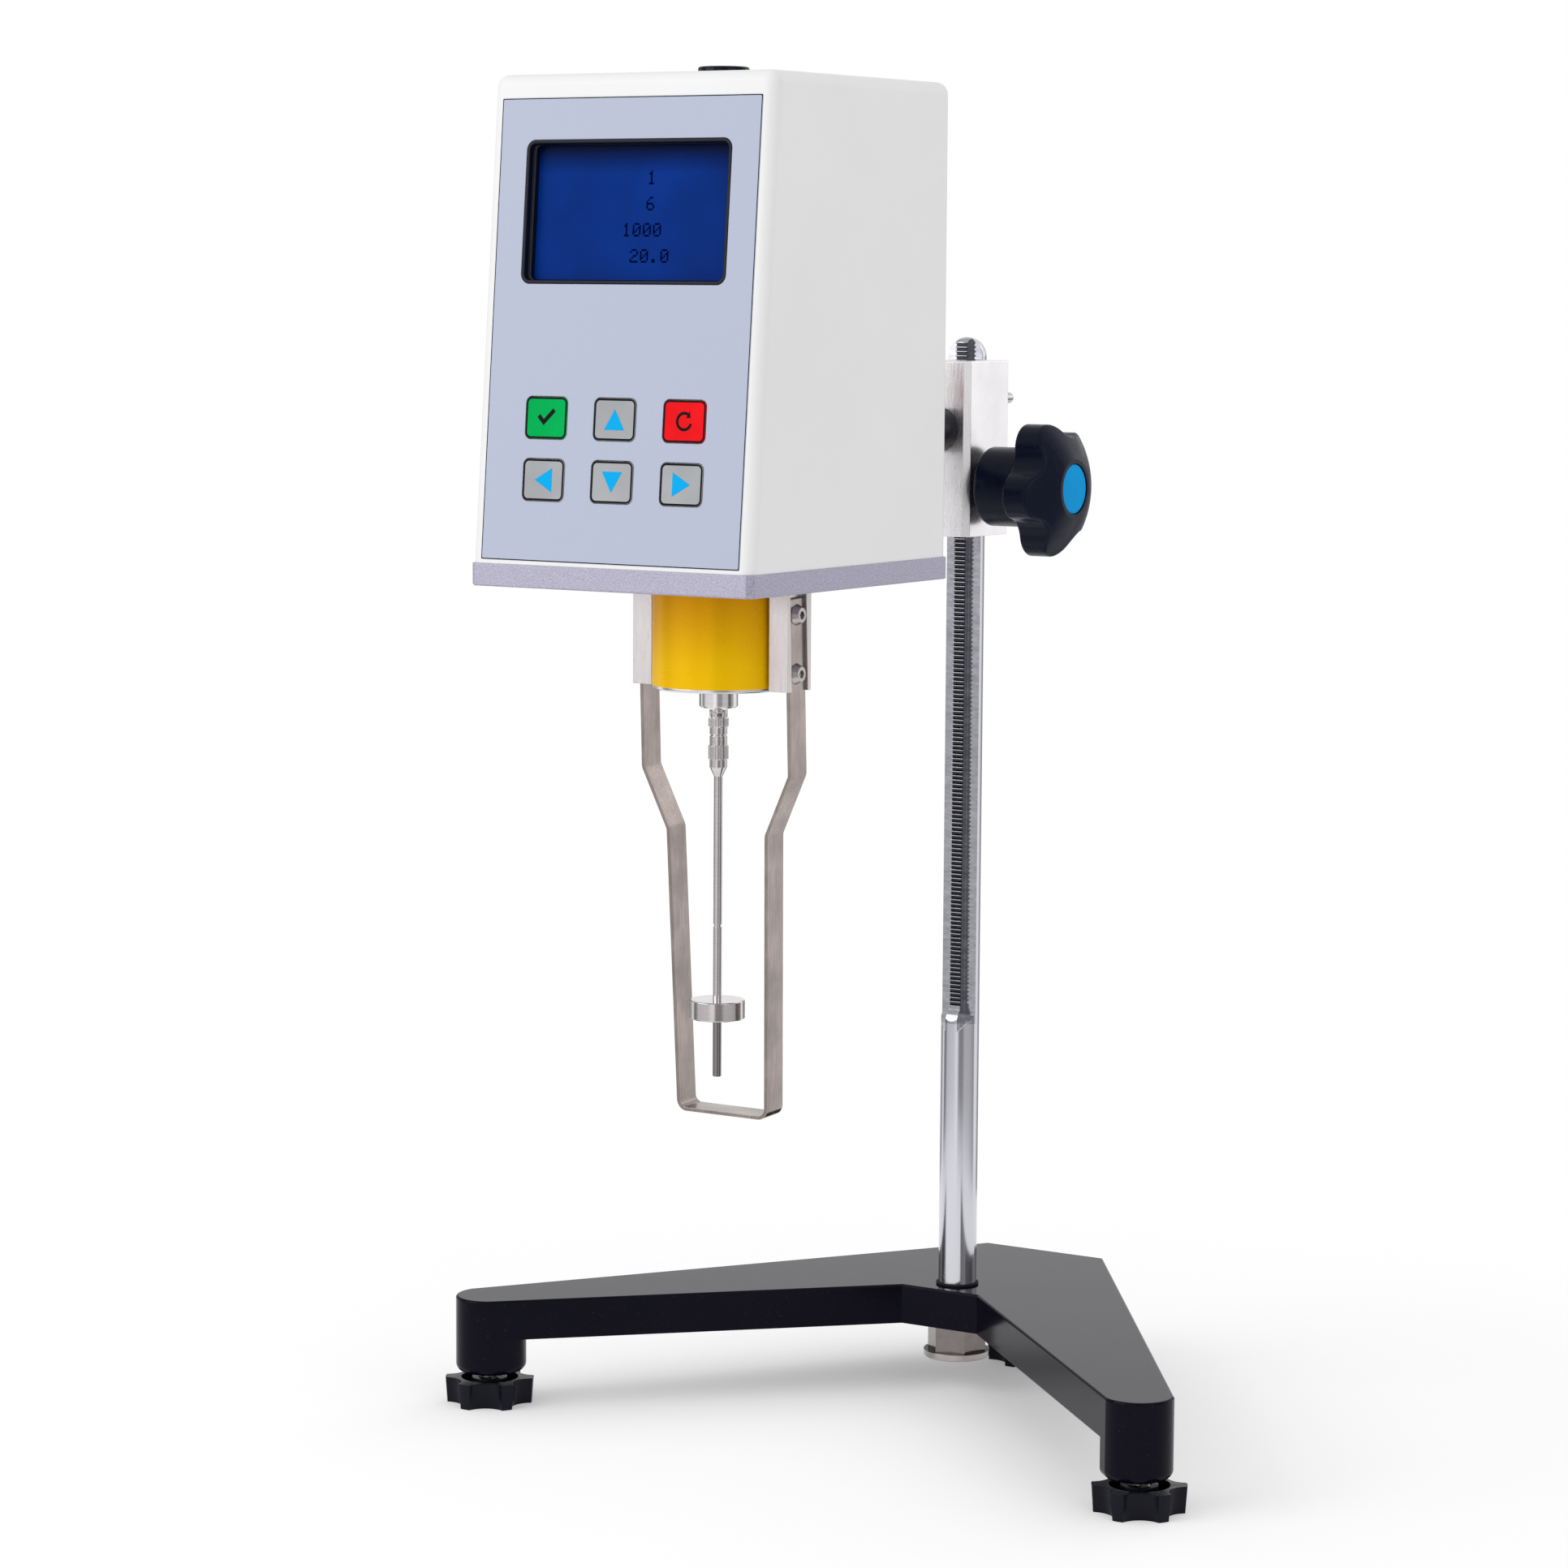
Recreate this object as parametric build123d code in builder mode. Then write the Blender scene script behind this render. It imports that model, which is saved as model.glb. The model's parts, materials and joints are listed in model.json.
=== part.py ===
"""Digital rotational viscometer on a rack-and-pinion bench stand.

Millimetres, +Z up, the front of the instrument faces -Y. The origin lies on the bench,
under the middle of the whole instrument. The measuring head hangs from a support rod in front
of the column; a pinion in the clamp block climbs the rack that is cut into the column.
"""
from build123d import *
import os
from math import acos, atan2, copysign, cos, hypot, pi, radians, sin, sqrt, tan

os.makedirs("parts", exist_ok=True)

# ---------------------------------------------------------------- fits and clearances
running = 0.05            # radial play of a shaft in its bore
seat_play = 0.03          # radial play of pieces that are pushed together for good
free_gap = 0.3            # air between two pieces that move past each other

# ---------------------------------------------------------------- stand: base and feet
base_top = 40.0           # height of the base's upper face above the bench
base_thick = 14.5
foot_x = 133.6            # front feet, left and right of the column
foot_y = 109.8            # front feet, in front of the column
rear_foot_y = 56.0        # rear foot, behind the column
leg_end_r = 12.3          # tip of a leg beyond its foot's centre
leg_inner = 13.3          # foot's centre to the leg's inner side
leg_outer = 11.0          # foot's centre to the leg's outer side
crotch_half = 15.8        # half the straight front edge between the legs
crotch_y = 13.2           # that edge, in front of the column
rear_half = 25.0          # half the straight rear edge
rear_edge_y = 67.4        # rear edge, behind the column
boss_bottom = 12.0        # underside of the foot bosses above the bench
rear_boss_r = 11.4
boss_round = 3.0
base_edge = 0.8
knob_r = 16.1             # adjusting knob of a foot
knob_tall = 9.3
knob_lobes = 6
knob_taper = 4.0
scallop_r = 7.0
scallop_depth = 4.1
stud_r = 4.0
stud_in_boss = 16.0
stud_floor = 3.0          # thickness of the knob's floor under the stud

# ---------------------------------------------------------------- stand: column and rack
column_r = 7.0
column_top = 388.3
gasket_thick = 0.8
gasket_r = 7.8
tail_r = 6.0              # threaded tail through the base
nut_flats = 19.0
nut_tall = 10.0
washer_r = 12.2
washer_thick = 2.5
rack_module = 0.5
rack_half = 2.4           # half the width of the toothed ridge
rack_crest = 4.6          # tooth tips, in front of the column's axis
side_flat = 1.26          # milled flats beside the ridge, in front of the axis
rack_bottom = 141.0       # where the cutters ran out
rack_top = 385.6
cutter_r = 18.0           # milling cutter that left the run-outs
pressure_angle = 20.0
backlash = 0.10

# ---------------------------------------------------------------- clamp block and lift drive
block_half = 12.0
block_front = 19.9        # in front of the column's axis
block_rear = 10.9
block_bottom = 317.2
block_tall = 62.8
block_bevel = 2.0
pinion_teeth = 16
pinion_wide = 9.2
pinion_z = 335.2
pinion_shaft_r = 3.0
bush_r = 5.2
collar_r = 8.0
collar_long = 2.9
lift_hub_r = 14.2
lift_hub_long = 17.6
lift_head_long = 16.5
lobe_count = 5
lobe_centre_r = 16.0
lobe_r = 8.5
lobe_phase = 44.0
valley_centre_r = 27.5
face_dome_r = 37.5        # the head's domed face
face_flat_r = 10.5        # flat ring round the cap
face_round = 1.6
cap_r = 9.0
cap_thick = 2.4
tension_r = 2.0
tension_z = 365.8
tension_out = 20.7        # how far the tension screw stands out behind the block
rod_r = 7.7
rod_z = 355.5
rod_in_block = 10.4
grub_r = 2.5

# ---------------------------------------------------------------- head: plate and cover
reach = 164.4             # column axis to spindle axis
plate_half = 54.5
plate_front = 65.9        # spindle axis to the plate's front edge
plate_rear = 57.9         # spindle axis to the plate's rear edge
plate_bottom = 308.9
plate_thick = 7.4
plate_corner = 2.0
cover_inset = 0.25        # plate edge to cover wall
cover_tall = 157.7
cover_wall = 3.0
face_lean = 4.86          # degrees the front wall leans back
cover_edge_r = 4.2
screw_post_r = 4.5
screw_post_tall = 14.0
post_gap = 1.2            # screw post to the side wall, bridged by a rib
rib_thick = 3.0
cover_screw_r = 1.5

# ---------------------------------------------------------------- head: panel, display and keys
panel_wide = 99.5
panel_tall = 148.9
panel_rise = 1.5          # panel's lower edge above the plate, along the face
panel_thick = 1.0
panel_proud = 0.2
bezel_wide = 78.8
bezel_tall = 46.3
bezel_rise = 113.9        # bezel's centre above the plate, along the face
bezel_corner = 3.4
bezel_lip = 1.5
bezel_step = 1.9
bezel_deep = 4.0
key_wide = 15.9
key_tall = 13.4
key_pitch_x = 26.6
key_pitch_y = 20.0
key_rise = 27.7           # lower row's centre above the plate, along the face
key_corner = 2.0
key_proud = 0.35
key_thick = 1.35
key_travel = 0.3
key_stem_r = 2.0
board_deep = 10.4         # board's front face behind the cover's front face
board_thick = 1.6
board_wide = 92.0
board_margin = 2.95       # panel's edge to the board's edge, above and below
standoff_inset = 4.2      # board's edge to its screw holes
standoff_r = 3.0
chip_side = 14.0
plug_wide = 18.0
plug_tall = 7.0
switch_side = 6.0
switch_body = 1.6
switch_tall = 2.6

# ---------------------------------------------------------------- head: top and rear fittings
level_r = 8.5
level_top = 477.8
level_y = 1.4             # behind the spindle axis
inlet_wide = 28.0
inlet_tall = 47.0
inlet_x = -31.0
inlet_rise = 38.5         # inlet's centre above the plate
inlet_deep = 14.0
inlet_rim = 1.8           # thickness of the rim that lies on the cover
socket_wide = 22.5
socket_tall = 15.5
socket_deep = 11.7
socket_drop = 10.0        # socket's centre below the inlet's centre
switch_lift = 14.0        # rocker's centre above the inlet's centre
pin_wide = 1.6
pin_tall = 3.6
pin_long = 9.0
rocker_wide = 18.6
rocker_tilt = 6.0         # degrees that the rocker tips each way
probe_r = 7.0
probe_x = 31.0

# ---------------------------------------------------------------- drive and torque mechanism
gear_module = 1.0
motor_teeth = 16
drive_teeth = 48
gear_thick = 5.0
bridge_rise = 76.0        # underside of the motor bridge above the plate
bridge_thick = 4.0
bridge_wide = 88.0
bridge_long = 78.0
bridge_post_x = 38.0
bridge_post_y = 26.0
bridge_post_r = 4.0
bearing_r = 8.0
motor_side = 30.0
motor_tall = 23.5
motor_shaft_r = 2.0
drive_tube_r = 4.0
pivot_r = 1.25
disc_r = 20.0
disc_thick = 1.0
lower_disc_rise = 20.0
spring_rise = 26.5
upper_disc_rise = 33.0
disc_slots = 24
spring_turns = 3.0
spring_strip = 0.5
spring_air = 1.8          # air between two turns of the hairspring
spring_wide = 2.0
spring_post_r = 0.9
collet_r = 2.6

# ---------------------------------------------------------------- spindle housing, guard, spindle
housing_r = 22.2
housing_tall = 35.6
housing_wall = 2.5
band_thick = 0.15
ring_tall = 1.2
hub_r = 6.5
hub_tall = 6.4
bar_inner = 23.2
bar_thick = 7.4
bar_wide = 14.3
bar_front = 5.6           # spindle axis to the bars' front face
groove_deep = 2.2
guard_wide = 9.8
guard_thick = 1.2
guard_lean = 2.4          # degrees the guard hangs back in its grooves
guard_top = 304.0
guard_knee = 245.5        # upper bend
guard_calf = 225.0        # lower bend
guard_bottom = 128.4
guard_half_knee = 20.1    # half the guard's width at the lower bend
guard_half_foot = 18.0    # and at its foot
guard_corner = 3.2
guard_mid = 1.4           # guard's middle behind the spindle axis, at its screws
guard_screw_z = (298.9, 279.4)
guard_screw_r = 2.0
screw_head_r = 3.6
screw_head_tall = 2.1
fork_top = 266.2
fork_r = 3.05
fork_base = 0.8
joint_gap = 2.1           # height between the two forks of the universal joint
cross_pin_r = 0.45
coupling_r = 3.4
coupling_neck_r = 2.95
knurl_count = 20
shaft_r = 1.45
disc_rotor_r = 9.36
disc_rotor_tall = 6.4
disc_rotor_bottom = 162.0
spindle_end = 142.2
immersion_z = 193.4

# ---------------------------------------------------------------- places that follow
rear_reach = rear_foot_y + knob_r
front_reach = reach + plate_front
column_y = (front_reach - rear_reach) / 2
spindle_y = column_y - reach
plate_top = plate_bottom + plate_thick
cover_top = plate_top + cover_tall
rack_pitch = pi * rack_module
rack_line = rack_crest - rack_module
pinion_pitch_r = rack_module * pinion_teeth / 2
pinion_y = column_y - rack_line - pinion_pitch_r
gear_distance = gear_module * (motor_teeth + drive_teeth) / 2
bridge_bottom = plate_top + bridge_rise
bridge_top = bridge_bottom + bridge_thick
housing_bottom = plate_bottom - housing_tall
hub_bottom = housing_bottom - hub_tall
base_bottom = base_top - base_thick
cover_front_y = spindle_y - plate_front + cover_inset
cover_rear_y = spindle_y + plate_rear - cover_inset
cover_half = plate_half - cover_inset

# The leaning front face: x to the right, y up the face, z out of it.
face = Plane(
    origin=(0, cover_front_y, plate_top),
    x_dir=(1, 0, 0),
    z_dir=(0, -cos(radians(face_lean)), sin(radians(face_lean))),
)


def involute_half_angle(radius, base_radius, pitch_radius, half_tooth):
    """Half the angle that a gear tooth spans at a radius, from its involute flank."""
    def involute(r):
        """The involute function at the radius r."""
        alpha = acos(min(1.0, base_radius / r))
        return tan(alpha) - alpha
    return half_tooth + involute(pitch_radius) - involute(max(radius, base_radius))


def gear_outline(module, teeth, play, turn=0.0):
    """A spur gear's outline: a root circle with one involute tooth on each pitch."""
    pitch_r = module * teeth / 2
    tip_r = pitch_r + module
    root_r = pitch_r - 1.25 * module
    base_r = pitch_r * cos(radians(pressure_angle))
    half_tooth = pi / (2 * teeth) - play / (2 * pitch_r)
    radii = [root_r * 0.98, max(base_r, root_r), pitch_r, (pitch_r + tip_r) / 2, tip_r]
    flank = []
    for r in radii:
        a = involute_half_angle(r, base_r, pitch_r, half_tooth)
        flank.append((r * cos(a), r * sin(a)))
    with BuildSketch(mode=Mode.PRIVATE) as tooth:
        with BuildLine():
            Polyline(*flank, *[(x, -y) for x, y in reversed(flank)], close=True)
        make_face()
    with BuildSketch(mode=Mode.PRIVATE) as outline:
        Circle(root_r)
        with PolarLocations(0, teeth, start_angle=turn):
            add(tooth.sketch)
    return outline.sketch


def lobed_outline(count, centre_r, tip_r, valley_centre_r, phase):
    """A star knob's outline: round lobes joined by hollow arcs that are tangent to them."""
    half = pi / count
    span = sqrt(
        centre_r ** 2 + valley_centre_r ** 2 - 2 * centre_r * valley_centre_r * cos(half)
    )
    valley_r = span - tip_r
    meet_x = centre_r + tip_r * (valley_centre_r * cos(half) - centre_r) / span
    meet_y = tip_r * valley_centre_r * sin(half) / span
    meet_r = sqrt(meet_x ** 2 + meet_y ** 2)
    meet_a = atan2(meet_y, meet_x)

    def polar(radius, angle):
        """A point from its radius and its angle in radians."""
        return (radius * cos(angle), radius * sin(angle))

    with BuildSketch(mode=Mode.PRIVATE) as outline:
        with BuildLine():
            for lobe in range(count):
                a = radians(phase) + 2 * half * lobe
                ThreePointArc(
                    polar(meet_r, a - meet_a), polar(centre_r + tip_r, a), polar(meet_r, a + meet_a)
                )
                ThreePointArc(
                    polar(meet_r, a + meet_a),
                    polar(valley_centre_r - valley_r, a + half),
                    polar(meet_r, a + 2 * half - meet_a),
                )
        make_face()
    return outline.sketch


# ================================================================ stand
# A leg runs from the column to its foot; its tip is an arc through three points.
leg_dx = foot_x / sqrt(foot_x ** 2 + foot_y ** 2)
leg_dy = foot_y / sqrt(foot_x ** 2 + foot_y ** 2)


def leg_point(along, across):
    """A point of the right leg's end: beyond the foot's centre, and to its outer side."""
    x = foot_x + along * leg_dx + across * leg_dy
    y = column_y - foot_y - along * leg_dy + across * leg_dx
    return (x, y)


def mirrored(point):
    """The same point on the left leg."""
    return (-point[0], point[1])


inner_corner = leg_point(1.5, -leg_inner)
leg_tip = leg_point(leg_end_r, 0)
outer_corner = leg_point(leg_end_r / 2, leg_outer * 0.87)
rear_corner = (rear_half, column_y + rear_edge_y)
crotch = (crotch_half, column_y - crotch_y)

with BuildSketch(mode=Mode.PRIVATE) as base_outline:
    with BuildLine():
        Line(mirrored(rear_corner), rear_corner)
        Line(rear_corner, outer_corner)
        ThreePointArc(outer_corner, leg_tip, inner_corner)
        Line(inner_corner, crotch)
        Line(crotch, mirrored(crotch))
        Line(mirrored(crotch), mirrored(inner_corner))
        ThreePointArc(mirrored(inner_corner), mirrored(leg_tip), mirrored(outer_corner))
        Line(mirrored(outer_corner), mirrored(rear_corner))
    make_face()

front_feet = [(-foot_x, column_y - foot_y), (foot_x, column_y - foot_y)]
rear_foot = (0, column_y + rear_foot_y)
feet = {"left": front_feet[0], "right": front_feet[1], "rear": rear_foot}

with BuildPart() as front_bosses:
    with BuildSketch(Plane.XY.offset(boss_bottom)):
        with Locations(*front_feet):
            Circle(leg_inner + 0.1)
        add(base_outline.sketch, mode=Mode.INTERSECT)
    extrude(amount=base_bottom - boss_bottom)
    fillet(front_bosses.faces().group_by(Axis.Z)[0].edges(), radius=boss_round)

with BuildPart() as stand_base:
    with BuildSketch(Plane.XY.offset(base_bottom)):
        add(base_outline.sketch)
    extrude(amount=base_thick)
    fillet(stand_base.faces().sort_by(Axis.Z)[-1].edges(), radius=base_edge)
    add(front_bosses.part)
    with BuildSketch(Plane.XY.offset(boss_bottom)):
        with Locations(rear_foot):
            Circle(rear_boss_r)
    extrude(amount=base_bottom - boss_bottom)
    for place in feet.values():
        with BuildSketch(Plane.XY.offset(boss_bottom)):
            with Locations(place):
                Circle(stud_r + running)
        extrude(amount=stud_in_boss + 2, mode=Mode.SUBTRACT)
    with BuildSketch(Plane.XY.offset(base_bottom)):
        with Locations((0, column_y)):
            Circle(tail_r + running)
    extrude(amount=base_thick, mode=Mode.SUBTRACT)
stand_base.part.label = "stand_base"
export_step(stand_base.part, "parts/stand_base.step")

# Adjusting feet: a threaded stud in each boss and a star knob on its lower end.
with BuildSketch(mode=Mode.PRIVATE) as star:
    Circle(knob_r)
    with PolarLocations(knob_r + scallop_r - scallop_depth, knob_lobes, start_angle=60):
        Circle(scallop_r, mode=Mode.SUBTRACT)

for side, place in feet.items():
    with BuildPart() as foot_stud:
        with BuildSketch(Plane.XY.offset(stud_floor)):
            with Locations(place):
                Circle(stud_r)
        extrude(amount=boss_bottom + stud_in_boss - stud_floor)
        chamfer(foot_stud.edges().group_by(Axis.Z)[-1], length=0.8)
    foot_stud.part.label = f"foot_stud_{side}"
    export_step(foot_stud.part, f"parts/foot_stud_{side}.step")

    with BuildPart() as foot_knob:
        with BuildSketch(Plane.XY.offset(knob_tall)):
            with Locations(place):
                add(star.sketch)
        extrude(amount=-knob_tall, taper=knob_taper)
        with BuildSketch(Plane.XY.offset(knob_tall)):
            with Locations(place):
                Circle(knob_r - scallop_depth - 1.6)
                Circle(stud_r + 2.4, mode=Mode.SUBTRACT)
        extrude(amount=-(knob_tall - stud_floor), taper=6, mode=Mode.SUBTRACT)
        with BuildSketch(Plane.XY.offset(stud_floor)):
            with Locations(place):
                Circle(stud_r + running)
        extrude(amount=knob_tall, mode=Mode.SUBTRACT)
    foot_knob.part.label = f"foot_knob_{side}"
    export_step(foot_knob.part, f"parts/foot_knob_{side}.step")

# The column: a round bar whose front is milled to a toothed ridge between two side flats.
with BuildPart() as column:
    with BuildSketch(Plane.XY.offset(base_top + gasket_thick)):
        with Locations((0, column_y)):
            Circle(column_r)
    extrude(amount=column_top - column_r - base_top - gasket_thick)
    with Locations((0, column_y, column_top - column_r)):
        Sphere(column_r)
    with BuildSketch(Plane.XY.offset(base_bottom - nut_tall - washer_thick - 0.4)):
        with Locations((0, column_y)):
            Circle(tail_r)
    extrude(amount=nut_tall + washer_thick + 0.4 + base_thick + gasket_thick)
    for hand in (-1, 1):
        with BuildSketch(Plane.YZ.offset(hand * rack_half)):
            with BuildLine():
                Line((column_y - side_flat, column_top + 1), (column_y - side_flat, rack_bottom))
                RadiusArc(
                    (column_y - side_flat, rack_bottom),
                    (column_y - column_r - 1, rack_bottom - 9),
                    -cutter_r,
                )
                Line((column_y - column_r - 1, rack_bottom - 9), (column_y - column_r - 1, column_top + 1))
                Line((column_y - column_r - 1, column_top + 1), (column_y - side_flat, column_top + 1))
            make_face()
        extrude(amount=hand * column_r, mode=Mode.SUBTRACT)
    with BuildSketch(Plane.YZ):
        with BuildLine():
            Line((column_y - rack_crest, column_top + 1), (column_y - rack_crest, rack_bottom + 2))
            RadiusArc(
                (column_y - rack_crest, rack_bottom + 2),
                (column_y - column_r - 1, rack_bottom - 5),
                -cutter_r,
            )
            Line((column_y - column_r - 1, rack_bottom - 5), (column_y - column_r - 1, column_top + 1))
            Line((column_y - column_r - 1, column_top + 1), (column_y - rack_crest, column_top + 1))
        make_face()
    extrude(amount=rack_half + 0.01, both=True, mode=Mode.SUBTRACT)

# Rack gaps: one trapezium per pitch, in mesh with the pinion at rest.
flank_run = tan(radians(pressure_angle))
gap_half = rack_pitch / 4 + backlash / 2
gap_count_up = int((rack_top - pinion_z) / rack_pitch)
gap_count_down = int((pinion_z - rack_bottom - 4) / rack_pitch)
with BuildPart(mode=Mode.PRIVATE) as rack_gaps:
    with BuildSketch(Plane.YZ):
        for step in range(-gap_count_down, gap_count_up + 1):
            gap_z = pinion_z + step * rack_pitch
            crest_half = gap_half + rack_module * flank_run + 0.01
            root_half = gap_half - 1.25 * rack_module * flank_run
            with BuildLine():
                Polyline(
                    (column_y - rack_crest - 0.1, gap_z - crest_half),
                    (column_y - rack_crest, gap_z - crest_half),
                    (column_y - rack_line + 1.25 * rack_module, gap_z - root_half),
                    (column_y - rack_line + 1.25 * rack_module, gap_z + root_half),
                    (column_y - rack_crest, gap_z + crest_half),
                    (column_y - rack_crest - 0.1, gap_z + crest_half),
                    close=True,
                )
            make_face()
    extrude(amount=rack_half + 0.1, both=True)

with BuildPart() as rack_column:
    add(column.part)
    add(rack_gaps.part, mode=Mode.SUBTRACT)
rack_column.part.label = "rack_column"
export_step(rack_column.part, "parts/rack_column.step")

with BuildPart() as column_gasket:
    with BuildSketch(Plane.XY.offset(base_top)):
        with Locations((0, column_y)):
            Circle(gasket_r)
            Circle(tail_r + running, mode=Mode.SUBTRACT)
    extrude(amount=gasket_thick)
column_gasket.part.label = "column_gasket"
export_step(column_gasket.part, "parts/column_gasket.step")

with BuildPart() as column_nut:
    with BuildSketch(Plane.XY.offset(base_bottom)):
        with Locations((0, column_y)):
            RegularPolygon(nut_flats / 2, 6, major_radius=False, rotation=15)
            Circle(tail_r + seat_play, mode=Mode.SUBTRACT)
    extrude(amount=-nut_tall)
column_nut.part.label = "column_nut"
export_step(column_nut.part, "parts/column_nut.step")

with BuildPart() as column_washer:
    with BuildSketch(Plane.XY.offset(base_bottom - nut_tall)):
        with Locations((0, column_y)):
            Circle(washer_r)
            Circle(tail_r + seat_play, mode=Mode.SUBTRACT)
    extrude(amount=-washer_thick)
    chamfer(column_washer.edges().group_by(Axis.Z)[0].sort_by(SortBy.LENGTH)[-1], length=0.5)
column_washer.part.label = "column_washer"
export_step(column_washer.part, "parts/column_washer.step")

# ================================================================ clamp block and lift drive
block_mid_y = column_y + (block_rear - block_front) / 2
pinion_room_r = bush_r
rod_end_y = column_y - block_front + rod_in_block

with BuildPart() as clamp_block:
    with BuildSketch(Plane.XY.offset(block_bottom)):
        with Locations((0, block_mid_y)):
            Rectangle(2 * block_half, block_front + block_rear)
        chamfer(vertices(), length=block_bevel)
    extrude(amount=block_tall)
    chamfer(clamp_block.faces().sort_by(Axis.Z)[-1].edges(), length=0.4)
    with Locations((0, column_y, block_bottom)):
        Cylinder(
            radius=column_r + running,
            height=block_tall,
            align=(Align.CENTER, Align.CENTER, Align.MIN),
            mode=Mode.SUBTRACT,
        )
    with BuildSketch(Plane.YZ):
        with Locations((pinion_y, pinion_z)):
            Circle(pinion_room_r)
    extrude(amount=block_half, both=True, mode=Mode.SUBTRACT)
    with BuildSketch(Plane.XZ.offset(-(column_y - block_front))):
        with Locations((0, rod_z)):
            Circle(rod_r + seat_play)
    extrude(amount=-rod_in_block, mode=Mode.SUBTRACT)
    with BuildSketch(Plane.XZ.offset(-(column_y + block_rear))):
        with Locations((0, tension_z)):
            Circle(tension_r + seat_play)
    extrude(amount=block_rear, mode=Mode.SUBTRACT)
    with BuildSketch(Plane.YZ.offset(-block_half)):
        with Locations((column_y - block_front + rod_in_block / 2, rod_z)):
            Circle(grub_r + seat_play)
    extrude(amount=block_half, mode=Mode.SUBTRACT)
clamp_block.part.label = "clamp_block"
export_step(clamp_block.part, "parts/clamp_block.step")

# Flanged bushes carry the pinion shaft in both walls of the block.
bush_inner_x = pinion_wide / 2 + 0.4
with BuildPart() as pinion_bushes:
    for hand, flange in ((1, collar_long), (-1, 1.5)):
        with BuildSketch(Plane.YZ.offset(hand * bush_inner_x)):
            with Locations((pinion_y, pinion_z)):
                Circle(bush_r - seat_play)
        extrude(amount=hand * (block_half - bush_inner_x))
        with BuildSketch(Plane.YZ.offset(hand * block_half)):
            with Locations((pinion_y, pinion_z)):
                Circle(collar_r)
        extrude(amount=hand * flange)
    with BuildSketch(Plane.YZ):
        with Locations((pinion_y, pinion_z)):
            Circle(pinion_shaft_r + running)
    extrude(amount=block_half + collar_long + 1, both=True, mode=Mode.SUBTRACT)
pinion_bushes.part.label = "pinion_bushes"
export_step(pinion_bushes.part, "parts/pinion_bushes.step")

hub_x = block_half + collar_long + free_gap
head_x = hub_x + lift_hub_long
lift_end_x = head_x + lift_head_long
pinion_outline = gear_outline(rack_module, pinion_teeth, backlash)
with BuildPart() as pinion_shaft:
    with BuildSketch(Plane.YZ.offset(-pinion_wide / 2)):
        with Locations((pinion_y, pinion_z)):
            add(pinion_outline)
    extrude(amount=pinion_wide)
    with BuildSketch(Plane.YZ.offset(-block_half - 2.5)):
        with Locations((pinion_y, pinion_z)):
            Circle(pinion_shaft_r)
    extrude(amount=block_half + 2.5 + head_x + 6)
pinion_shaft.part.label = "pinion_shaft"
export_step(pinion_shaft.part, "parts/pinion_shaft.step")

def on_lobe_rim(edge):
    """True for an edge of the lift knob between its lobed side and its domed face."""
    middle = edge.center()
    from_axis = hypot(middle.Y - pinion_y, middle.Z - pinion_z)
    on_front = head_x + 1 < middle.X < lift_end_x - 0.5
    return on_front and from_axis > face_flat_r + 2 and edge.geom_type != GeomType.LINE


# The lift knob: a round hub and a five-lobed head with a domed face and a capped end.
lobes = lobed_outline(lobe_count, lobe_centre_r, lobe_r, valley_centre_r, lobe_phase)
dome_out_r = lobe_centre_r + lobe_r + 1
dome_centre_x = lift_end_x - sqrt(face_dome_r ** 2 - face_flat_r ** 2)
dome_out_x = dome_centre_x + sqrt(face_dome_r ** 2 - dome_out_r ** 2)
with BuildPart() as lift_knob:
    with BuildSketch(Plane.YZ.offset(head_x)):
        with Locations((pinion_y, pinion_z)):
            add(lobes)
    extrude(amount=lift_head_long)
    with BuildSketch(Plane((0, pinion_y, pinion_z), x_dir=(1, 0, 0), z_dir=(0, 0, 1))):
        with BuildLine():
            Polyline((lift_end_x, face_flat_r), (lift_end_x, 0), (head_x - 1, 0), (head_x - 1, dome_out_r))
            Line((head_x - 1, dome_out_r), (dome_out_x, dome_out_r))
            RadiusArc((dome_out_x, dome_out_r), (lift_end_x, face_flat_r), face_dome_r)
        make_face()
    revolve(axis=Axis((0, pinion_y, pinion_z), (1, 0, 0)), mode=Mode.INTERSECT)
    rim_edges = [edge for edge in lift_knob.edges() if on_lobe_rim(edge)]
    fillet(rim_edges, radius=face_round)
    fillet(lift_knob.edges().group_by(Axis.X)[0], radius=1.2)
    with BuildSketch(Plane.YZ.offset(hub_x)):
        with Locations((pinion_y, pinion_z)):
            Circle(lift_hub_r)
    extrude(amount=lift_hub_long + 4)
    fillet(lift_knob.edges().group_by(Axis.X)[0], radius=1.5)
    with BuildSketch(Plane.YZ.offset(lift_end_x)):
        with Locations((pinion_y, pinion_z)):
            Circle(cap_r + seat_play)
    extrude(amount=-cap_thick, mode=Mode.SUBTRACT)
    with BuildSketch(Plane.YZ.offset(hub_x)):
        with Locations((pinion_y, pinion_z)):
            Circle(pinion_shaft_r + seat_play)
    extrude(amount=lift_hub_long + 6.5, mode=Mode.SUBTRACT)
lift_knob.part.label = "lift_knob"
export_step(lift_knob.part, "parts/lift_knob.step")

with BuildPart() as lift_knob_cap:
    with BuildSketch(Plane.YZ.offset(lift_end_x - cap_thick)):
        with Locations((pinion_y, pinion_z)):
            Circle(cap_r)
    extrude(amount=cap_thick - 0.3)
    fillet(lift_knob_cap.edges().group_by(Axis.X)[-1], radius=0.8)
lift_knob_cap.part.label = "lift_knob_cap"
export_step(lift_knob_cap.part, "parts/lift_knob_cap.step")

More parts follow.
